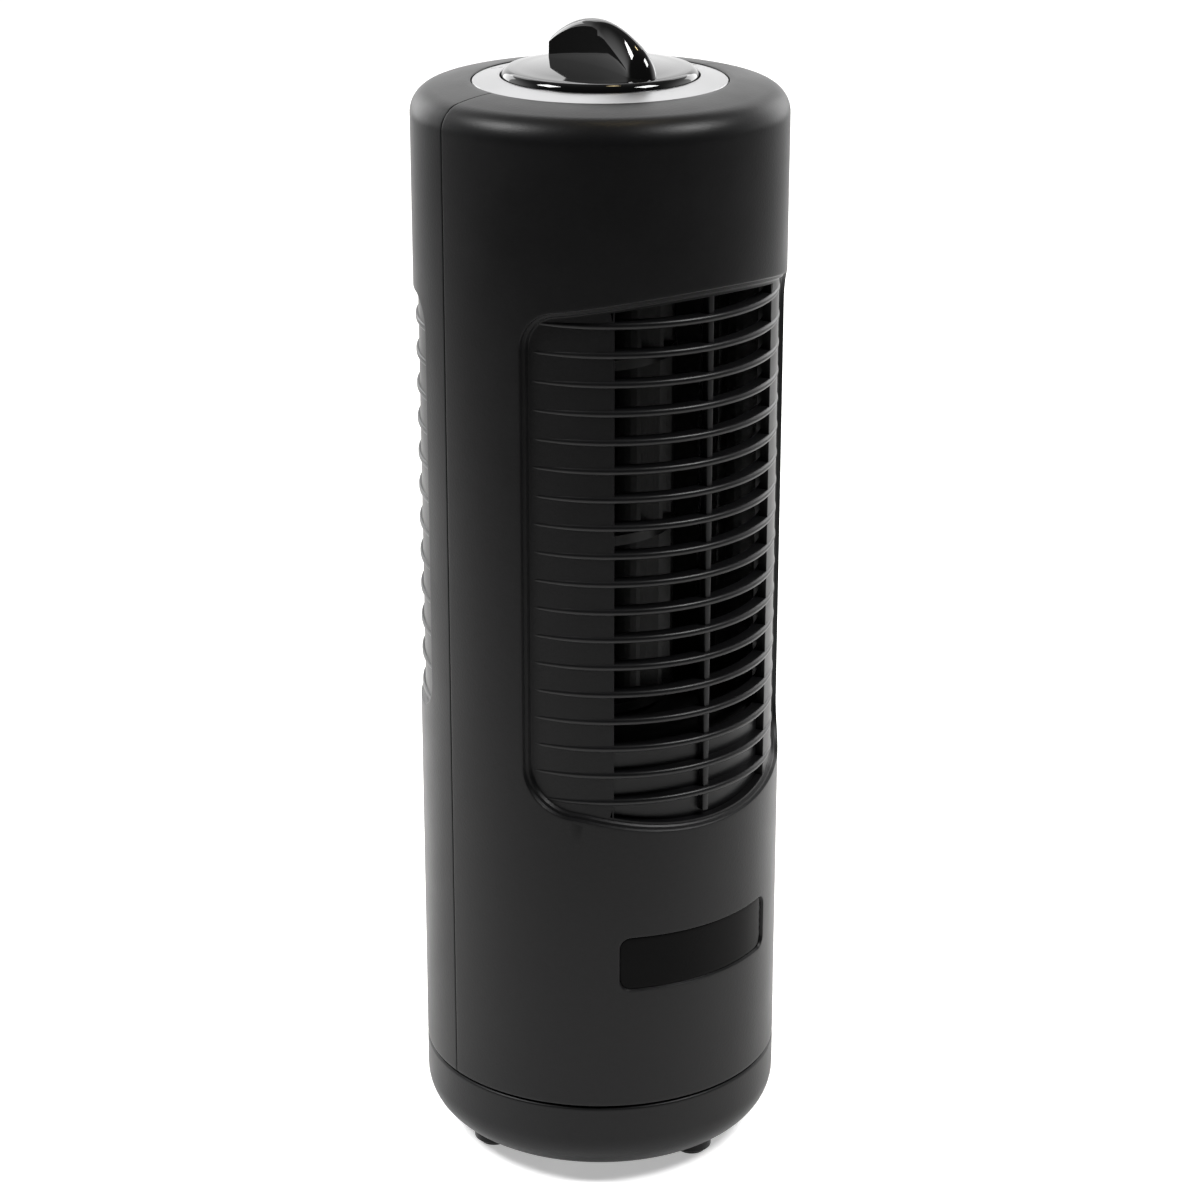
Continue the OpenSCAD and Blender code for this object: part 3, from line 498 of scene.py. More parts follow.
    verts = []
    for s, z, drop, inner in table:
        verts.append(wrapped(s, z, BODY_R - drop - dip(s) - rounding(z - TOWER_Z, 0.6)))
    count = len(table)
    for s, z, drop, inner in table:
        verts.append(wrapped(s, z, inner))
    all_faces = list(faces) + [tuple(v + count for v in reversed(f)) for f in faces]
    top = [i for i in range(count) if abs(table[i][1] - SHOULDER_Z) < 1e-6]
    top.sort(key=lambda i: table[i][0])
    on_top = set(top)
    undirected = {}
    for f in faces:
        for a, b in zip(f, f[1:] + f[:1]):
            key = (min(a, b), max(a, b))
            undirected[key] = undirected.get(key, 0) + 1
    for (a, b), times in undirected.items():
        if times == 1 and not (a in on_top and b in on_top):
            all_faces.append((a, b, b + count, a + count))

    # the shoulder, the dished top and the well under the dial
    outer = arc(BODY_R - SHOULDER_R, SHOULDER_Z, SHOULDER_R, 0, 77, 14)[1:]
    outer += [(r, 239.94 + math.sqrt(62.0 ** 2 - (r - 30.46) ** 2))
              for r in np.linspace(44.2, SEAT_R + 0.3, 7)]
    edge_z = outer[-1][1]
    outer += arc(SEAT_R + 0.3, edge_z - 0.3, 0.3, 90, 180, 4)[1:]
    plain = len(outer)
    section = outer + [(SEAT_R, WELL_Z), (12.0, WELL_Z), (12.0, WELL_Z - 2)]
    section += [(BODY_R - SHOULDER_R, WELL_Z - 2)]
    section += arc(BODY_R - SHOULDER_R, SHOULDER_Z, INNER_R - BODY_R + SHOULDER_R, 80, 8, 7)
    lines = [[i for i in top]]
    for k, (r, z) in enumerate(section):
        before = section[k - 1] if k else (BODY_R, SHOULDER_Z)
        after = section[min(k + 1, len(section) - 1)]
        along = (after[0] - before[0], after[1] - before[1])
        size = math.hypot(*along)
        normal = (along[1] / size, -along[0] / size)
        line = []
        for i in top:
            s = table[i][0]
            sink = dip(s) if k < plain else 0.0
            rr = r - normal[0] * sink
            zz = z - normal[1] * sink
            a = s / BODY_R + turn
            verts.append((rr * math.sin(a), -rr * math.cos(a), zz))
            line.append(len(verts) - 1)
        lines.append(line)
    lines.append([i + count for i in top])
    for a, b in zip(lines, lines[1:]):
        for i in range(len(top) - 1):
            all_faces.append((a[i], a[i + 1], b[i + 1], b[i]))
    all_faces.append(tuple(line[0] for line in lines))
    all_faces.append(tuple(line[-1] for line in reversed(lines)))
    return make_object(name, verts, all_faces, BODY, "tower", 38, "body_plastic")


# ---- outlines on the flattened shell ----

def arc_length(x):
    """The distance round the body from its front line to a sideways distance x."""
    return BODY_R * math.asin(x / BODY_R)


def top_edge(x):
    """The height of the grille's arched top edge at a sideways distance x."""
    return 255.7 - 160.0 + math.sqrt(160.0 ** 2 - x * x)


def bottom_edge(x):
    """The height of the grille's arched bottom edge at a sideways distance x."""
    return 106.6 + 115.0 - math.sqrt(115.0 ** 2 - x * x)


def spaced(a, b, step):
    """Points from a up to b, not counting b, about one step apart."""
    n = max(int(math.dist(a, b) / step), 1)
    return [(a[0] + (b[0] - a[0]) * i / n, a[1] + (b[1] - a[1]) * i / n) for i in range(n)]


def recess_outline():
    """The rim round the front grille: arched top and bottom, upright sides, rounded corners."""
    side = BODY_R * math.radians(60.5)
    right = []
    low_x, low_h = 33.4, 14.5
    low_s = arc_length(low_x)
    low_w = side - low_s
    low_z = bottom_edge(low_x) + low_h
    top_x = 37.4
    top_s = arc_length(top_x)
    top_w = side - top_s
    top_h = 10.5
    top_z = top_edge(top_x) - top_h
    n = 34
    for i in range(n):
        x = low_x * i / n
        right.append((arc_length(x), bottom_edge(x)))
    for i in range(15):
        a = math.radians(-78 + 78 * i / 14)
        right.append((low_s + low_w * math.cos(a), low_z + low_h * math.sin(a)))
    right += spaced((side, low_z + 1.5), (side, top_z - 1.5), 2.0)
    for i in range(15):
        a = math.radians(76 * i / 14)
        right.append((top_s + top_w * math.cos(a), top_z + top_h * math.sin(a)))
    for i in range(n - 1, 0, -1):
        x = top_x * i / n
        right.append((arc_length(x), top_edge(x)))
    left = [(-s, z) for s, z in reversed(right) if s > 1e-6]
    return right + [(0.0, top_edge(0.0))] + left


def window_outline():
    """The air outlet with the blind gaps under it."""
    s = arc_length(OUTLET_X)
    line = []
    for i in range(24):
        x = -OUTLET_X + 2 * OUTLET_X * i / 24
        line.append((arc_length(x), bottom_edge(x) + 2.3))
    line += spaced((s, bottom_edge(OUTLET_X) + 2.3), (s, top_edge(OUTLET_X) - 2.3), 2.5)
    for i in range(24):
        x = OUTLET_X - 2 * OUTLET_X * i / 24
        line.append((arc_length(x), top_edge(x) - 2.3))
    line += spaced((-s, top_edge(OUTLET_X) - 2.3), (-s, bottom_edge(OUTLET_X) + 2.3), 2.5)
    return line


def round_box(half, low, high, r, step=2.2, corner=8):
    """A rectangle with rounded corners, as closely spaced points."""
    line = []
    for cx, cz, a in ((half - r, low + r, -90), (half - r, high - r, 0), (-half + r, high - r, 90),
                      (-half + r, low + r, 180)):
        line.append(arc(cx, cz, r, a, a + 90, corner))
    out = []
    for k in range(4):
        out += line[k][:-1]
        out += spaced(line[k][-1], line[(k + 1) % 4][0], step)
    return out


def front_depth(a):
    """How deep the front recess is at an angle from the front."""
    return BODY_R - (3.2 * math.cos(a) + math.sqrt(45.85 ** 2 - (3.2 * math.sin(a)) ** 2))


def rear_depth(a):
    """How deep the rear recess is at an angle."""
    return BODY_R - (-1.62 * math.cos(a) + math.sqrt(49.58 ** 2 - (1.62 * math.sin(a)) ** 2))


def ccw(line):
    """The loop, turned to run anticlockwise."""
    area = sum(a[0] * b[1] - b[0] * a[1] for a, b in zip(line, line[1:] + line[:1]))
    return line if area > 0 else line[::-1]


badge_line = round_box(arc_length(BADGE_HALF), BADGE_LOW, BADGE_HIGH, BADGE_CORNER)
front_shell = half_shell(
    "front_cover", 0.0,
    [(ccw(recess_outline()), front_depth, stepped_wall, lambda a: BODY_R - front_depth(a) - 2.2),
     (ccw(badge_line), lambda a: 0.7, plain_wall, lambda a: 47.2)],
    ccw(window_outline()), [])
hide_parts("front_shell")

hole_lines = [ccw([(side * arc_length(BOSS_X + HOLE_R * math.cos(2 * math.pi * i / 28)),
                    z + HOLE_R * math.sin(2 * math.pi * i / 28)) for i in range(28)])
              for side in (-1, 1) for z in BOSS_ZS]
rear_shell = half_shell(
    "rear_cover", math.pi,
    [(ccw(round_box(BODY_R * math.radians(77), 130.5, 247.3, 9.0)), rear_depth, soft_wall,
      lambda a: BODY_R - rear_depth(a) - 2.2)],
    ccw(round_box(arc_length(43.3), 133.3, 244.4, 5.0)), hole_lines)
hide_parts("rear_shell")


# ---- slats, ribs and struts ----

def bar_sweep(radius, centre_y, z, thick, deep, edge, half_angle, turn, steps=72):
    """A curved bar with a rounded outer edge, swept round an upright axis."""
    h = thick / 2
    section = [(radius - deep, z - h), (radius - deep, z + h)]
    for middle, angles in ((z + h - edge, (90, 68, 45, 22, 0)), (z - h + edge, (0, -22, -45, -68, -90))):
        for a in angles:
            around = math.radians(a)
            section.append((radius - edge + edge * math.cos(around), middle + edge * math.sin(around)))
    verts, faces = [], []
    n = len(section)
    for k in range(steps + 1):
        a = -half_angle + 2 * half_angle * k / steps
        for r, zz in section:
            x = r * math.sin(a)
            y = centre_y - r * math.cos(a)
            c, s = math.cos(turn), math.sin(turn)
            verts.append((x * c - y * s, x * s + y * c, zz))
    for k in range(steps):
        for i in range(n):
            j = (i + 1) % n
            faces.append((k * n + i, (k + 1) * n + i, (k + 1) * n + j, k * n + j))
    faces.append(tuple(range(n)))
    faces.append(tuple(steps * n + i for i in reversed(range(n))))
    return verts, faces


def merged(parts):
    """Several pairs of points and faces as one."""
    verts, faces = [], []
    for v, f in parts:
        base = len(verts)
        verts += v
        faces += [tuple(i + base for i in face) for face in f]
    return verts, faces


slat_parts = [bar_sweep(45.18, -4.6, SLAT_Z + SLAT_PITCH * i, 2.0, 3.9, 0.92, math.asin(40.6 / 45.18), 0.0)
              for i in range(SLAT_COUNT)]
make_object("front_slats", *merged(slat_parts), SLAT, "tower", 40, "body_plastic")
rib_parts = [bar_sweep(49.02, -0.88, RIB_Z + RIB_PITCH * i, 2.0, 3.4, 0.6, math.asin(48.2 / 49.02), math.pi)
             for i in range(RIB_COUNT)]
make_object("rear_ribs", *merged(rib_parts), SLAT, "tower", 40, "body_plastic")


def post(x0, x1, y0, y1, z0, z1, edge):
    """An upright bar with chamfered long edges."""
    e = edge
    ring = [(x0 + e, y0), (x1 - e, y0), (x1 - e * 0.3, y0 + e * 0.3), (x1, y0 + e), (x1, y1 - e)]
    ring += [(x1 - e, y1), (x0 + e, y1), (x0, y1 - e), (x0, y0 + e), (x0 + e * 0.3, y0 + e * 0.3)]
    n = len(ring)
    verts = [(x, y, z0) for x, y in ring] + [(x, y, z1) for x, y in ring]
    faces = [(i, (i + 1) % n, n + (i + 1) % n, n + i) for i in range(n)]
    faces += [tuple(reversed(range(n))), tuple(range(n, 2 * n))]
    return verts, faces


make_object("outlet_strut", *post(-STRUT_HALF, STRUT_HALF, -48.6, -45.6, 110.5, 254.2, 0.3),
            SLAT, "tower", 50, "body_plastic")
intake_struts = []
for x in (-25.0, 0.0, 25.0):
    y_in = math.sqrt(45.4 ** 2 - x * x)
    y_out = math.sqrt(47.4 ** 2 - x * x)
    intake_struts.append(post(x - STRUT_HALF, x + STRUT_HALF, y_in, y_out, 131.5, 246.2, 0.3))
make_object("intake_struts", *merged(intake_struts), SLAT, "tower", 50, "body_plastic")


def curved_plate(r_in, r_out, half, low, high, turn=0.0, steps=40, edge=0.25):
    """A closed plate bent round the tower's axis, from one height to another."""
    verts, faces = [], []
    for k in range(steps + 1):
        s = -half + 2 * half * k / steps
        a = s / BODY_R + turn
        for r, z in ((r_in, low), (r_out - edge, low), (r_out, low + edge), (r_out, high - edge),
                     (r_out - edge, high), (r_in, high)):
            verts.append((r * math.sin(a), -r * math.cos(a), z))
    for k in range(steps):
        for i in range(6):
            j = (i + 1) % 6
            faces.append((k * 6 + i, (k + 1) * 6 + i, (k + 1) * 6 + j, k * 6 + j))
    faces.append(tuple(range(6)))
    faces.append(tuple(steps * 6 + i for i in reversed(range(6))))
    return verts, faces


# lips behind the two seams, so that no light shines through them
seam_lips = [curved_plate(INNER_R - 0.8, INNER_R + 0.3, 2.2, 31.0, 292.0, side * math.pi / 2, 4)
             for side in (-1, 1)]
make_object("seam_lips", *merged(seam_lips), SLAT, "tower", 40, "body_plastic")

# the panel behind the lowest slats, which are blind
make_object("blind_panel", *curved_plate(44.3, 46.4, 29.5, 106.5, OUTLET_Z - 0.6),
            SLAT, "tower", 40, "body_plastic")


def screw_cup(side, z):
    """The moulded cup that a cover screw sits in."""
    verts, faces = [], []
    n = 28
    for k in range(n):
        a = 2 * math.pi * k / n
        x_out = BOSS_X + 4.0 * math.cos(a)
        x_in = BOSS_X + HOLE_R * math.cos(a)
        reach_out = math.sqrt(max(48.6 ** 2 - x_out ** 2, 0))
        reach_in = math.sqrt(max(48.6 ** 2 - x_in ** 2, 0))
        zo, zi = z + 4.0 * math.sin(a), z + HOLE_R * math.sin(a)
        zb = z + 1.7 * math.sin(a)
        xb = BOSS_X + 1.7 * math.cos(a)
        for x, y, zz in ((xb, 8.0, zb), (x_out, 8.0, zo), (x_out, reach_out, zo), (x_in, reach_in, zi),
                         (x_in, 10.0, zi), (xb, 10.0, zb)):
            verts.append((side * x, y, zz))
    for k in range(n):
        for i in range(6):
            j = (i + 1) % 6
            faces.append((k * 6 + i, ((k + 1) % n) * 6 + i, ((k + 1) % n) * 6 + j, k * 6 + j))
    return verts, faces


cups = [screw_cup(side, z) for side in (-1, 1) for z in BOSS_ZS]
make_object("screw_cups", *merged(cups), BODY, "tower", 40, "body_plastic")


# ---- badge plate: plain, with no mark on it ----

def badge_mesh():
    """The plate that fills the badge recess, with a gap round it and rounded edges."""
    line = round_box(arc_length(BADGE_HALF) - BADGE_GAP, BADGE_LOW + BADGE_GAP, BADGE_HIGH - BADGE_GAP,
                     BADGE_CORNER - BADGE_GAP)
    verts, faces = [], []
    rows = []
    for inset, r in ((0.0, 49.05), (0.0, 49.3), (0.08, 49.38), (0.25, 49.42)):
        moved = offset_loop(ccw(line), [inset] * len(line))
        row = []
        for s, z in moved:
            a = s / BODY_R
            verts.append((r * math.sin(a), -r * math.cos(a), z))
            row.append(len(verts) - 1)
        rows.append((row, moved))
    n = len(line)
    for (a, _), (b, _) in zip(rows, rows[1:]):
        for i in range(n):
            j = (i + 1) % n
            faces.append((a[i], a[j], b[j], b[i]))
    for (row, moved), r in ((rows[-1], 49.42), (rows[0], 49.05)):
        grid = np.array([(s, z) for s in np.linspace(-25, 25, 31) for z in np.linspace(62.5, 75.2, 6)])
        grid = grid[inside(grid, moved) & away_from(grid, moved, 0.8)]
        extra = []
        for s, z in grid:
            a = s / BODY_R
            verts.append((r * math.sin(a), -r * math.cos(a), z))
            extra.append(len(verts) - 1)
        ids = row + extra
        flat = [tuple(p) for p in moved] + [tuple(p) for p in grid]
        for t in triangulate(flat, [list(range(n))]):
            if len(t) == 3 and min(t) >= 0:
                centre = np.mean([flat[v] for v in t], axis=0)
                if inside([centre], moved)[0]:
                    faces.append(tuple(ids[v] for v in t))
    return verts, faces


badge = make_object("badge_blank", *badge_mesh(), BADGE, "tower", 40, "body_plastic")
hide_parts("badge_plate")


# ---- base ----

def cut(target, tool, how):
    """Join a tool to the target or take it away, and remove the tool."""
    step = target.modifiers.new("shape", "BOOLEAN")
    step.operation = how
    step.solver = "EXACT"
    step.object = tool
    bpy.context.view_layer.update()
    evaluated = target.evaluated_get(bpy.context.evaluated_depsgraph_get())
    mesh = bpy.data.meshes.new_from_object(evaluated)
    target.modifiers.remove(step)
    target.data = mesh
    bpy.data.objects.remove(tool)


def raw_object(name, verts, faces):
    """A plain mesh object with no material and no body yet."""
    mesh = bpy.data.meshes.new(name)
    mesh.from_pydata([(x * MM, y * MM, z * MM) for x, y, z in verts], [], faces)
    obj = bpy.data.objects.new(name, mesh)
    bpy.context.scene.collection.objects.link(obj)
    tidy(obj, 35)
    return obj


def drum(x, y, r, z0, z1, edge=0.0, count=40):
    """A short round post, with its lower rim rounded when an edge is given."""
    profile = [(0.0, z0)]
    if edge:
        for a in (0, 30, 60, 90):
            around = math.radians(a)
            profile.append((r - edge + edge * math.sin(around), z0 + edge - edge * math.cos(around)))
    else:
        profile += [(r, z0)]
    profile += [(r, z1), (0.0, z1)]
    return lathe_solid(profile, count, (x, y))


base_profile = [(0.0, 3.1), (12.0, 3.1), (26.0, 3.1)]
base_profile += arc(37.9, 15.2, 12.1, -90, 0, 20)
base_profile += [(50.0, 18.0), (50.0, 22.0), (50.0, 23.9)]
base_profile += arc(49.2, 24.25, 0.8, 0, 90, 6)
base_profile += [(47.6, 25.05), (47.6, 20.0)]
base_profile += arc(37.9, 15.2, 9.7, 0, -90, 12)
base_profile += [(20.0, 5.5), (0.0, 5.5)]
base_cover = raw_object("base_cover", *lathe_solid(base_profile, 192))
foot_places = []
for angle in FOOT_ANGLES:
    a = math.radians(angle)
    foot_places.append((FOOT_PLACE_R * math.sin(a), -FOOT_PLACE_R * math.cos(a)))
screw_places = [(sx * BASE_SCREW[0], sy * BASE_SCREW[1]) for sx in (-1, 1) for sy in (-1, 1)]
bosses = [drum(x, y, 5.6, 1.2, 5.0, 0.6) for x, y in foot_places]
cut(base_cover, raw_object("bosses", *merged(bosses)), "UNION")
posts = [drum(x, y, 4.5, 4.5, 21.0) for x, y in screw_places]
cut(base_cover, raw_object("posts", *merged(posts)), "UNION")
wells = [drum(x, y, 3.95, -1.0, 1.9) for x, y in foot_places]
wells += [drum(x, y, 3.3, -1.0, 8.0) for x, y in screw_places]
cut(base_cover, raw_object("wells", *merged(wells)), "DIFFERENCE")
screw_ways = [drum(x, y, 1.7, 7.0, 22.0) for x, y in screw_places]
cut(base_cover, raw_object("screw_ways", *merged(screw_ways)), "DIFFERENCE")
gland_points, gland_faces = drum(0.0, 0.0, 4.45, 42.0, 55.0)
gland_points = [(x, z, GLAND_Z - y) for x, y, z in gland_points]
cut(base_cover, raw_object("gland_way", gland_points, gland_faces), "DIFFERENCE")
tidy(base_cover, 35)
base_cover.data.materials.clear()
base_cover.data.materials.append(BASE)
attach(base_cover, "base")
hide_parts("base_shell")


# ---- ring and dial ----

def ring_height(r):
    """The height of the ring's sloping top face."""
    return 303.0 - (r - 26.3) * RING_FALL


ring_profile = [(26.3, WELL_Z), (26.3, 302.75)]
ring_profile += arc(26.55, ring_height(26.55) - 0.25, 0.25, 160, 100, 3)
ring_profile += [(27.2, ring_height(27.2)), (30.0, ring_height(30.0)), (32.9, ring_height(32.9))]
ring_profile += arc(33.2, ring_height(33.2) - 0.48, 0.48, 84, 0, 6)
ring_profile += [(33.68, 300.9), (33.68, WELL_Z)]
trim = make_object("dial_trim", *lathe(ring_profile, 192), RING, "tower", 40, "ring_metal")
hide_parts("dial_ring")

dial_profile = [(0.0, 300.7), (6.0, 300.7), (6.0, 302.3), (23.9, 302.3), (23.9, 300.1), (25.6, 300.1)]
dial_profile += [(25.9, 300.4), (25.9, 302.6)]
dial_profile += arc(23.6, 302.6, 2.3, 8, 80, 10)
dial_profile += [(r, 305.75 - 0.00178 * r * r) for r in (22.0, 19.0, 15.0, 11.0, 7.0, 3.0)]
dial_profile += [(0.0, 305.75)]
cap = make_object("dial_cap", *lathe_solid(dial_profile, 160), GLOSS, "dial", 45, "dial_plastic")
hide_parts("control_dial")


def grip_mesh():
    """The grip: a fin with scooped sides, a sharp crease under its crown, and a rounded front end."""
    back, front = 20.4, -22.4
    crease_back = 18.6
    base_z = 303.6
    verts, faces = [], []
    places = []
    n = 72
    for k in range(n + 1):
        u = k / n
        places.append(back + (front - back) * (0.5 - 0.5 * math.cos(math.pi * u)))
    sections = []
    for y in places:
        top = 317.3 - 31.4 + math.sqrt(31.4 ** 2 - y * y)
        if y >= 0:
            w = 2.6 + 0.85 * (min(y, crease_back) / crease_back) ** 2
        else:
            w = 2.6 + 1.55 * (min(-y, 17.5) / 17.5) ** 2.2
        if y > crease_back:
            w *= max((back - y) / (back - crease_back), 0.0) ** 0.75
            top -= 0.5 * ((y - crease_back) / (back - crease_back)) ** 2
        if y < -17.5:
            v = min((-y - 17.5) / (-front - 17.5), 1.0)
            w *= math.sqrt(max(1 - v ** 1.9, 0.0))
            top = base_z + (top - base_z) * max(1 - v ** 3.4, 0.0) ** 0.45
        if y > -2.7:
            drop = 1.75 + 0.45 * max(y, 0.0) / crease_back + 0.55 * max(-y, 0.0) / 2.7
        else:
            v = min((-2.7 - y) / 16.5, 1.0)
            drop = top - (314.9 + (base_z + 0.4 - 314.9) * v)
        crease = max(top - drop, base_z + 0.05)
        lean = math.radians(62 + 26 * min(max(-y, 0.0) / 16.0, 1.0))
        sections.append((y, w, crease, top, lean))
    m = 9
    for y, w, crease, top, lean in sections:
        row = []
        side = [(w * (1 + 0.03 * (1 - i / 4)), base_z + (crease - base_z) * i / 4) for i in range(5)]
        crown = []
        for i in range(1, m):
            a = lean * (1 - i / m)
            crown.append((w * math.sin(a) / math.sin(lean),
                          top - (top - crease) * (1 - math.cos(a)) / (1 - math.cos(lean))))
        half = side + crown
        line = [(-x, z) for x, z in half] + [(0.0, top)] + [(x, z) for x, z in reversed(half)]
        for x, z in line:
            verts.append((x, y, z))
    width = 2 * (5 + m - 1) + 1
    for k in range(n):
        for i in range(width - 1):
            faces.append((k * width + i, k * width + i + 1, (k + 1) * width + i + 1, (k + 1) * width + i))
        faces.append((k * width + width - 1, k * width, (k + 1) * width, (k + 1) * width + width - 1))
    faces.append(tuple(reversed(range(width))))
    faces.append(tuple(n * width + i for i in range(width)))
    return verts, faces


make_object("dial_grip", *grip_mesh(), GLOSS, "dial", 21, "dial_plastic")


# ---- marks on the ring ----

def ring_marks():
    """Short bars every thirty degrees beside the plain numbers."""
    parts = []
    for k in range(len(NUMBERS)):
        a = math.radians(MARK_START + MARK_STEP * k)
        verts = []
        for r, w in ((28.2, 0.28), (29.4, 0.28)):
            for side in (-1, 1):
                for up in (0.0, 0.05):
                    x = side * w
                    verts.append((r * math.sin(a) + x * math.cos(a), -r * math.cos(a) + x * math.sin(a),
                                  ring_height(r) - 0.03 + up))
        faces = [(0, 2, 3, 1), (4, 5, 7, 6), (0, 1, 5, 4), (2, 6, 7, 3), (1, 3, 7, 5), (0, 4, 6, 2)]
        parts.append((verts, faces))
    return merged(parts)


make_object("ring_marks", *ring_marks(), MARK, "tower", 40)


def ring_number(k, label):
    """A thin plain number on the ring, bent round with it."""
    a = math.radians(MARK_START + MARK_STEP * k)
    curve = bpy.data.curves.new("number_" + str(k), "FONT")
    curve.body = label
    curve.size = 2.6 * MM
    curve.extrude = 0.02 * MM
    curve.align_x = "CENTER"
    curve.align_y = "CENTER"
    number = bpy.data.objects.new("number_" + str(k), curve)
    bpy.context.scene.collection.objects.link(number)
    bpy.context.view_layer.update()
    mesh = bpy.data.meshes.new_from_object(number.evaluated_get(bpy.context.evaluated_depsgraph_get()))
    for vert in mesh.vertices:
        x, y, z = vert.co
        r = NUMBER_R * MM - y
        height = ring_height(r / MM) * MM + z
        vert.co = (r * math.sin(a) - x * math.cos(a), -r * math.cos(a) - x * math.sin(a), height)
    bpy.data.objects.remove(number)
    bpy.data.curves.remove(curve)
    solid = bpy.data.objects.new("ring_number_" + str(k), mesh)
    bpy.context.scene.collection.objects.link(solid)
    mesh.materials.clear()
    mesh.materials.append(MARK)
    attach(solid, "tower")


for place, figure in enumerate(NUMBERS):
    ring_number(place, figure)


# ---- floor, light and camera ----

view_turn = math.radians(-36)
TOWARDS = Vector((math.sin(view_turn), -math.cos(view_turn), 0.0))
ACROSS = Vector((math.cos(view_turn), math.sin(view_turn), 0.0))
UP = Vector((0.0, 0.0, 1.0))


def placed(across, towards, up):
    """A place given across the camera's view, towards the camera and up, in metres."""
    return ACROSS * across + TOWARDS * towards + UP * up


def math_node(tree, operation, *values):
    """A math node whose inputs are numbers or the outputs of other nodes."""
    node = tree.nodes.new("ShaderNodeMath")
    node.operation = operation
    for k, value in enumerate(values):
        if isinstance(value, (int, float)):
            node.inputs[k].default_value = value
        else:
            tree.links.new(value, node.inputs[k])
    return node.outputs[0]


def along(tree, source, direction):
    """The distance of a vector output along a fixed direction."""
    node = tree.nodes.new("ShaderNodeVectorMath")
    node.operation = "DOT_PRODUCT"
    tree.links.new(source, node.inputs[0])
    node.inputs[1].default_value = tuple(direction)
    return node.outputs["Value"]


def stepped(tree, value, low, high, out_low, out_high):
    """A smooth step from one output to another while the value goes from low to high."""
    node = tree.nodes.new("ShaderNodeMapRange")
    node.interpolation_type = "SMOOTHSTEP"
    node.inputs["From Min"].default_value = low
    node.inputs["From Max"].default_value = high
    node.inputs["To Min"].default_value = out_low
    node.inputs["To Max"].default_value = out_high
    tree.links.new(value, node.inputs["Value"])
    return node.outputs["Result"]


def floor_material():
    """White paper, plain from every side; in reflections it carries a painted pool of light round the tower
    that fades further out, and the whole floor glows a little through its emission.
    """
    material, tree, shader, coords = new_material("floor_white")
    spot = coords.outputs["Object"]
    across = along(tree, spot, ACROSS)
    towards = along(tree, spot, TOWARDS)
    moved = math_node(tree, "ADD", towards, 0.3)
    square = math_node(tree, "ADD", math_node(tree, "MULTIPLY", across, across),
                       math_node(tree, "MULTIPLY", moved, moved))
    reach = math_node(tree, "SUBTRACT", math_node(tree, "SQRT", square), 0.3)
    # painted light: the floor's colour is brightest round the tower and fades with distance, a painted pool
    # of light
    near = stepped(tree, reach, 0.1, 0.75, 0.70, 0.0)
    far = stepped(tree, reach, 0.3, 1.5, 0.26, 0.0)
    painted_light_pool = math_node(tree, "ADD", math_node(tree, "ADD", near, far), 0.04)
    width = math_node(tree, "DIVIDE", math_node(tree, "ABSOLUTE", across),
                      math_node(tree, "SUBTRACT", 1.0, towards))
    strip = math_node(tree, "MULTIPLY", stepped(tree, width, 0.20, 0.42, 1.0, 0.0),
                      stepped(tree, towards, 0.10, 0.32, 1.0, 0.0))
    share = math_node(tree, "MAXIMUM", painted_light_pool, strip)
    speckle = noise_node(tree, coords, 30.0, 2.0)
    share = math_node(tree, "MULTIPLY", share, stepped(tree, speckle.outputs["Fac"], 0.3, 0.7, 0.985, 1.0))
    paint = tree.nodes.new("ShaderNodeCombineColor")
    seen = tree.nodes.new("ShaderNodeLightPath").outputs["Is Camera Ray"]
    share = math_node(tree, "MAXIMUM", share, math_node(tree, "MULTIPLY", seen, 0.97))
    scaled = math_node(tree, "MULTIPLY", share, 0.92)
    for k in range(3):
        tree.links.new(scaled, paint.inputs[k])
    tree.links.new(paint.outputs["Color"], shader.inputs["Base Color"])
    # painted glow: the same colour feeds the emission, so the floor gives off light of its own though it is
    # no lamp
    tree.links.new(paint.outputs["Color"], shader.inputs["Emission Color"])
    shader.inputs["Emission Strength"].default_value = 0.45
    shader.inputs["Roughness"].default_value = 0.7
    shader.inputs["Specular IOR Level"].default_value = 0.1
    return material


floor_mesh = bpy.data.meshes.new("floor")
floor_mesh.from_pydata([(-6, -6, 0), (6, -6, 0), (6, 6, 0), (-6, 6, 0)], [], [(0, 1, 2, 3)])
floor = bpy.data.objects.new("floor", floor_mesh)
bpy.context.scene.collection.objects.link(floor)
floor_mesh.materials.append(floor_material())


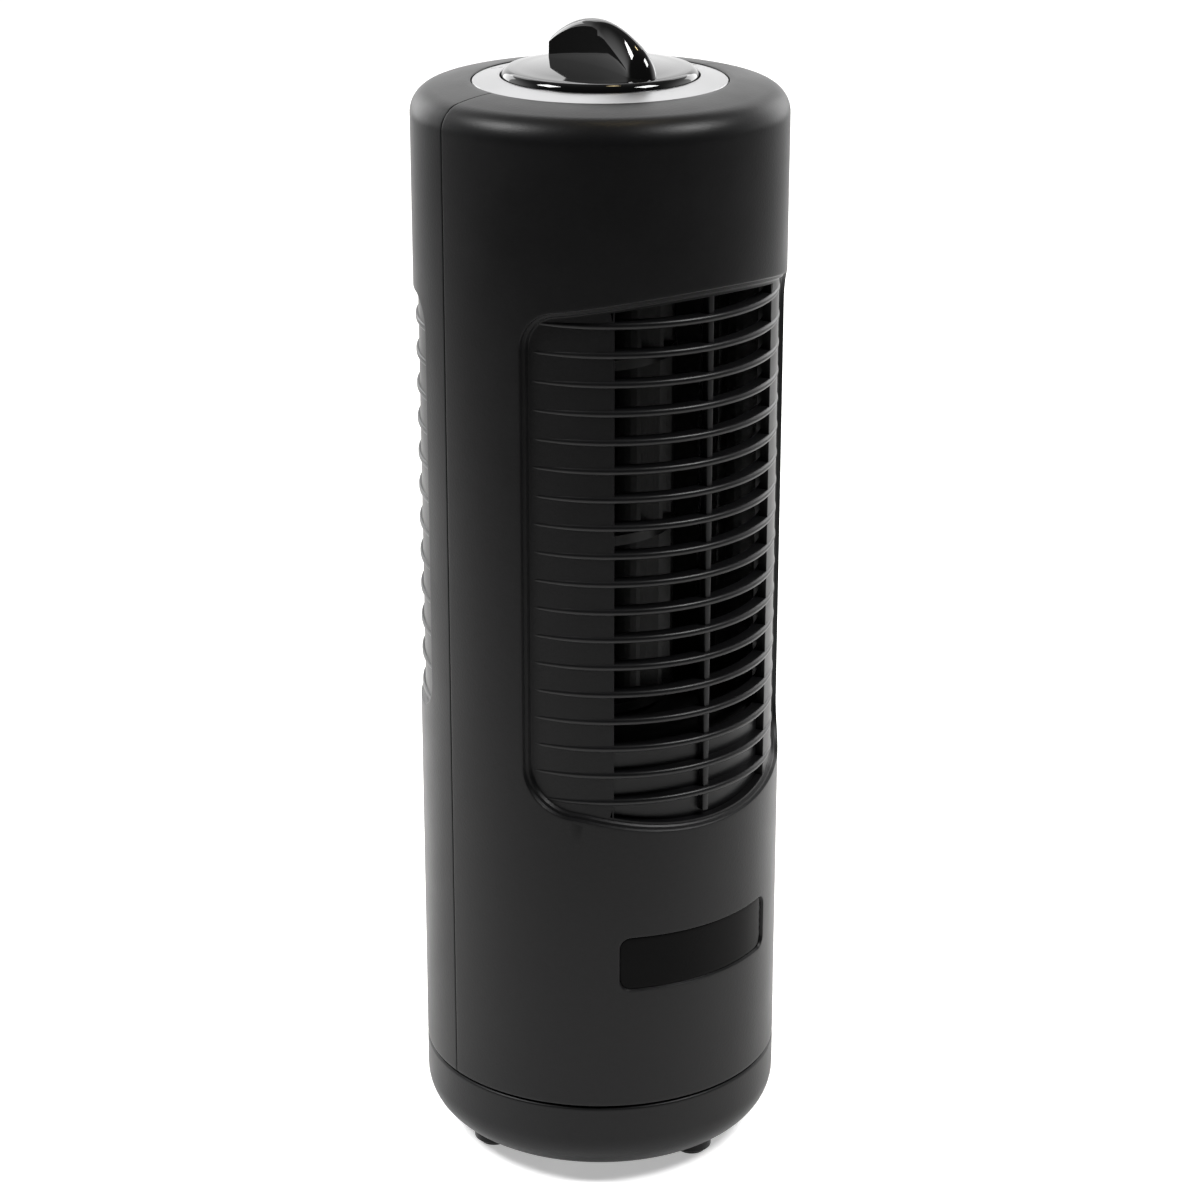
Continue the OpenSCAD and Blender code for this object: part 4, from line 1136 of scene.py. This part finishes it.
def area_light(name, place, aim, size, power, colour=(1, 1, 1)):
    """A rectangular lamp that points at a place."""
    data = bpy.data.lights.new(name, "AREA")
    data.shape = "RECTANGLE"
    data.size = size[0]
    data.size_y = size[1]
    data.energy = power
    data.color = colour
    lamp = bpy.data.objects.new(name, data)
    bpy.context.scene.collection.objects.link(lamp)
    lamp.location = place
    lamp.rotation_euler = (Vector(aim) - Vector(place)).to_track_quat("-Z", "Y").to_euler()
    return lamp


MIDDLE = (0.0, 0.0, 0.16)
area_light("top_left", placed(-0.89, 0.16, 1.23), (0, 0, 0.3), (0.42, 0.42), 23.0)
area_light("top_right", placed(0.84, 0.27, 1.25), (0, 0, 0.3), (0.42, 0.42), 20.0)
area_light("warm_spot", placed(0.19, -0.24, 1.87), (0, 0, 0.3), (0.16, 0.16), 2.5, (1.0, 0.80, 0.45))
area_light("behind", placed(0.0, -1.45, 1.35), (0, 0, 0.3), (1.9, 0.75), 10.0)
area_light("back_left", placed(-1.2, -1.5, 0.5), MIDDLE, (0.8, 1.4), 12.0)
area_light("back_right", placed(1.2, -1.5, 0.5), MIDDLE, (0.8, 1.4), 12.0)

world = bpy.data.worlds.new("studio")
bpy.context.scene.world = world
world.use_nodes = True
wt = world.node_tree
back = wt.nodes["Background"]
wc = wt.nodes.new("ShaderNodeTexCoord")
behind = stepped(wt, along(wt, wc.outputs["Generated"], -TOWARDS), -0.35, 0.45, 0.02, 1.0)
height = stepped(wt, along(wt, wc.outputs["Generated"], UP), 0.15, 0.75, 1.7, 0.15)
glow = math_node(wt, "MULTIPLY", behind, height)
seen = wt.nodes.new("ShaderNodeLightPath").outputs["Is Camera Ray"]
wt.links.new(math_node(wt, "MAXIMUM", glow, math_node(wt, "MULTIPLY", seen, 0.85)), back.inputs["Strength"])
back.inputs["Color"].default_value = (1, 1, 1, 1)

scene = bpy.context.scene
scene.view_settings.view_transform = "Standard"
scene.view_settings.look = "None"

eye = bpy.data.cameras.new("camera")
eye.sensor_width = 36.0
eye.lens = 95.86
camera = bpy.data.objects.new("camera", eye)
scene.collection.objects.link(camera)
camera.location = (-0.4895, -0.6737, 0.4585)
pitch = math.radians(19.93)
look = -TOWARDS * math.cos(pitch) - UP * math.sin(pitch)
camera.rotation_euler = look.to_track_quat("-Z", "Y").to_euler()
scene.camera = camera
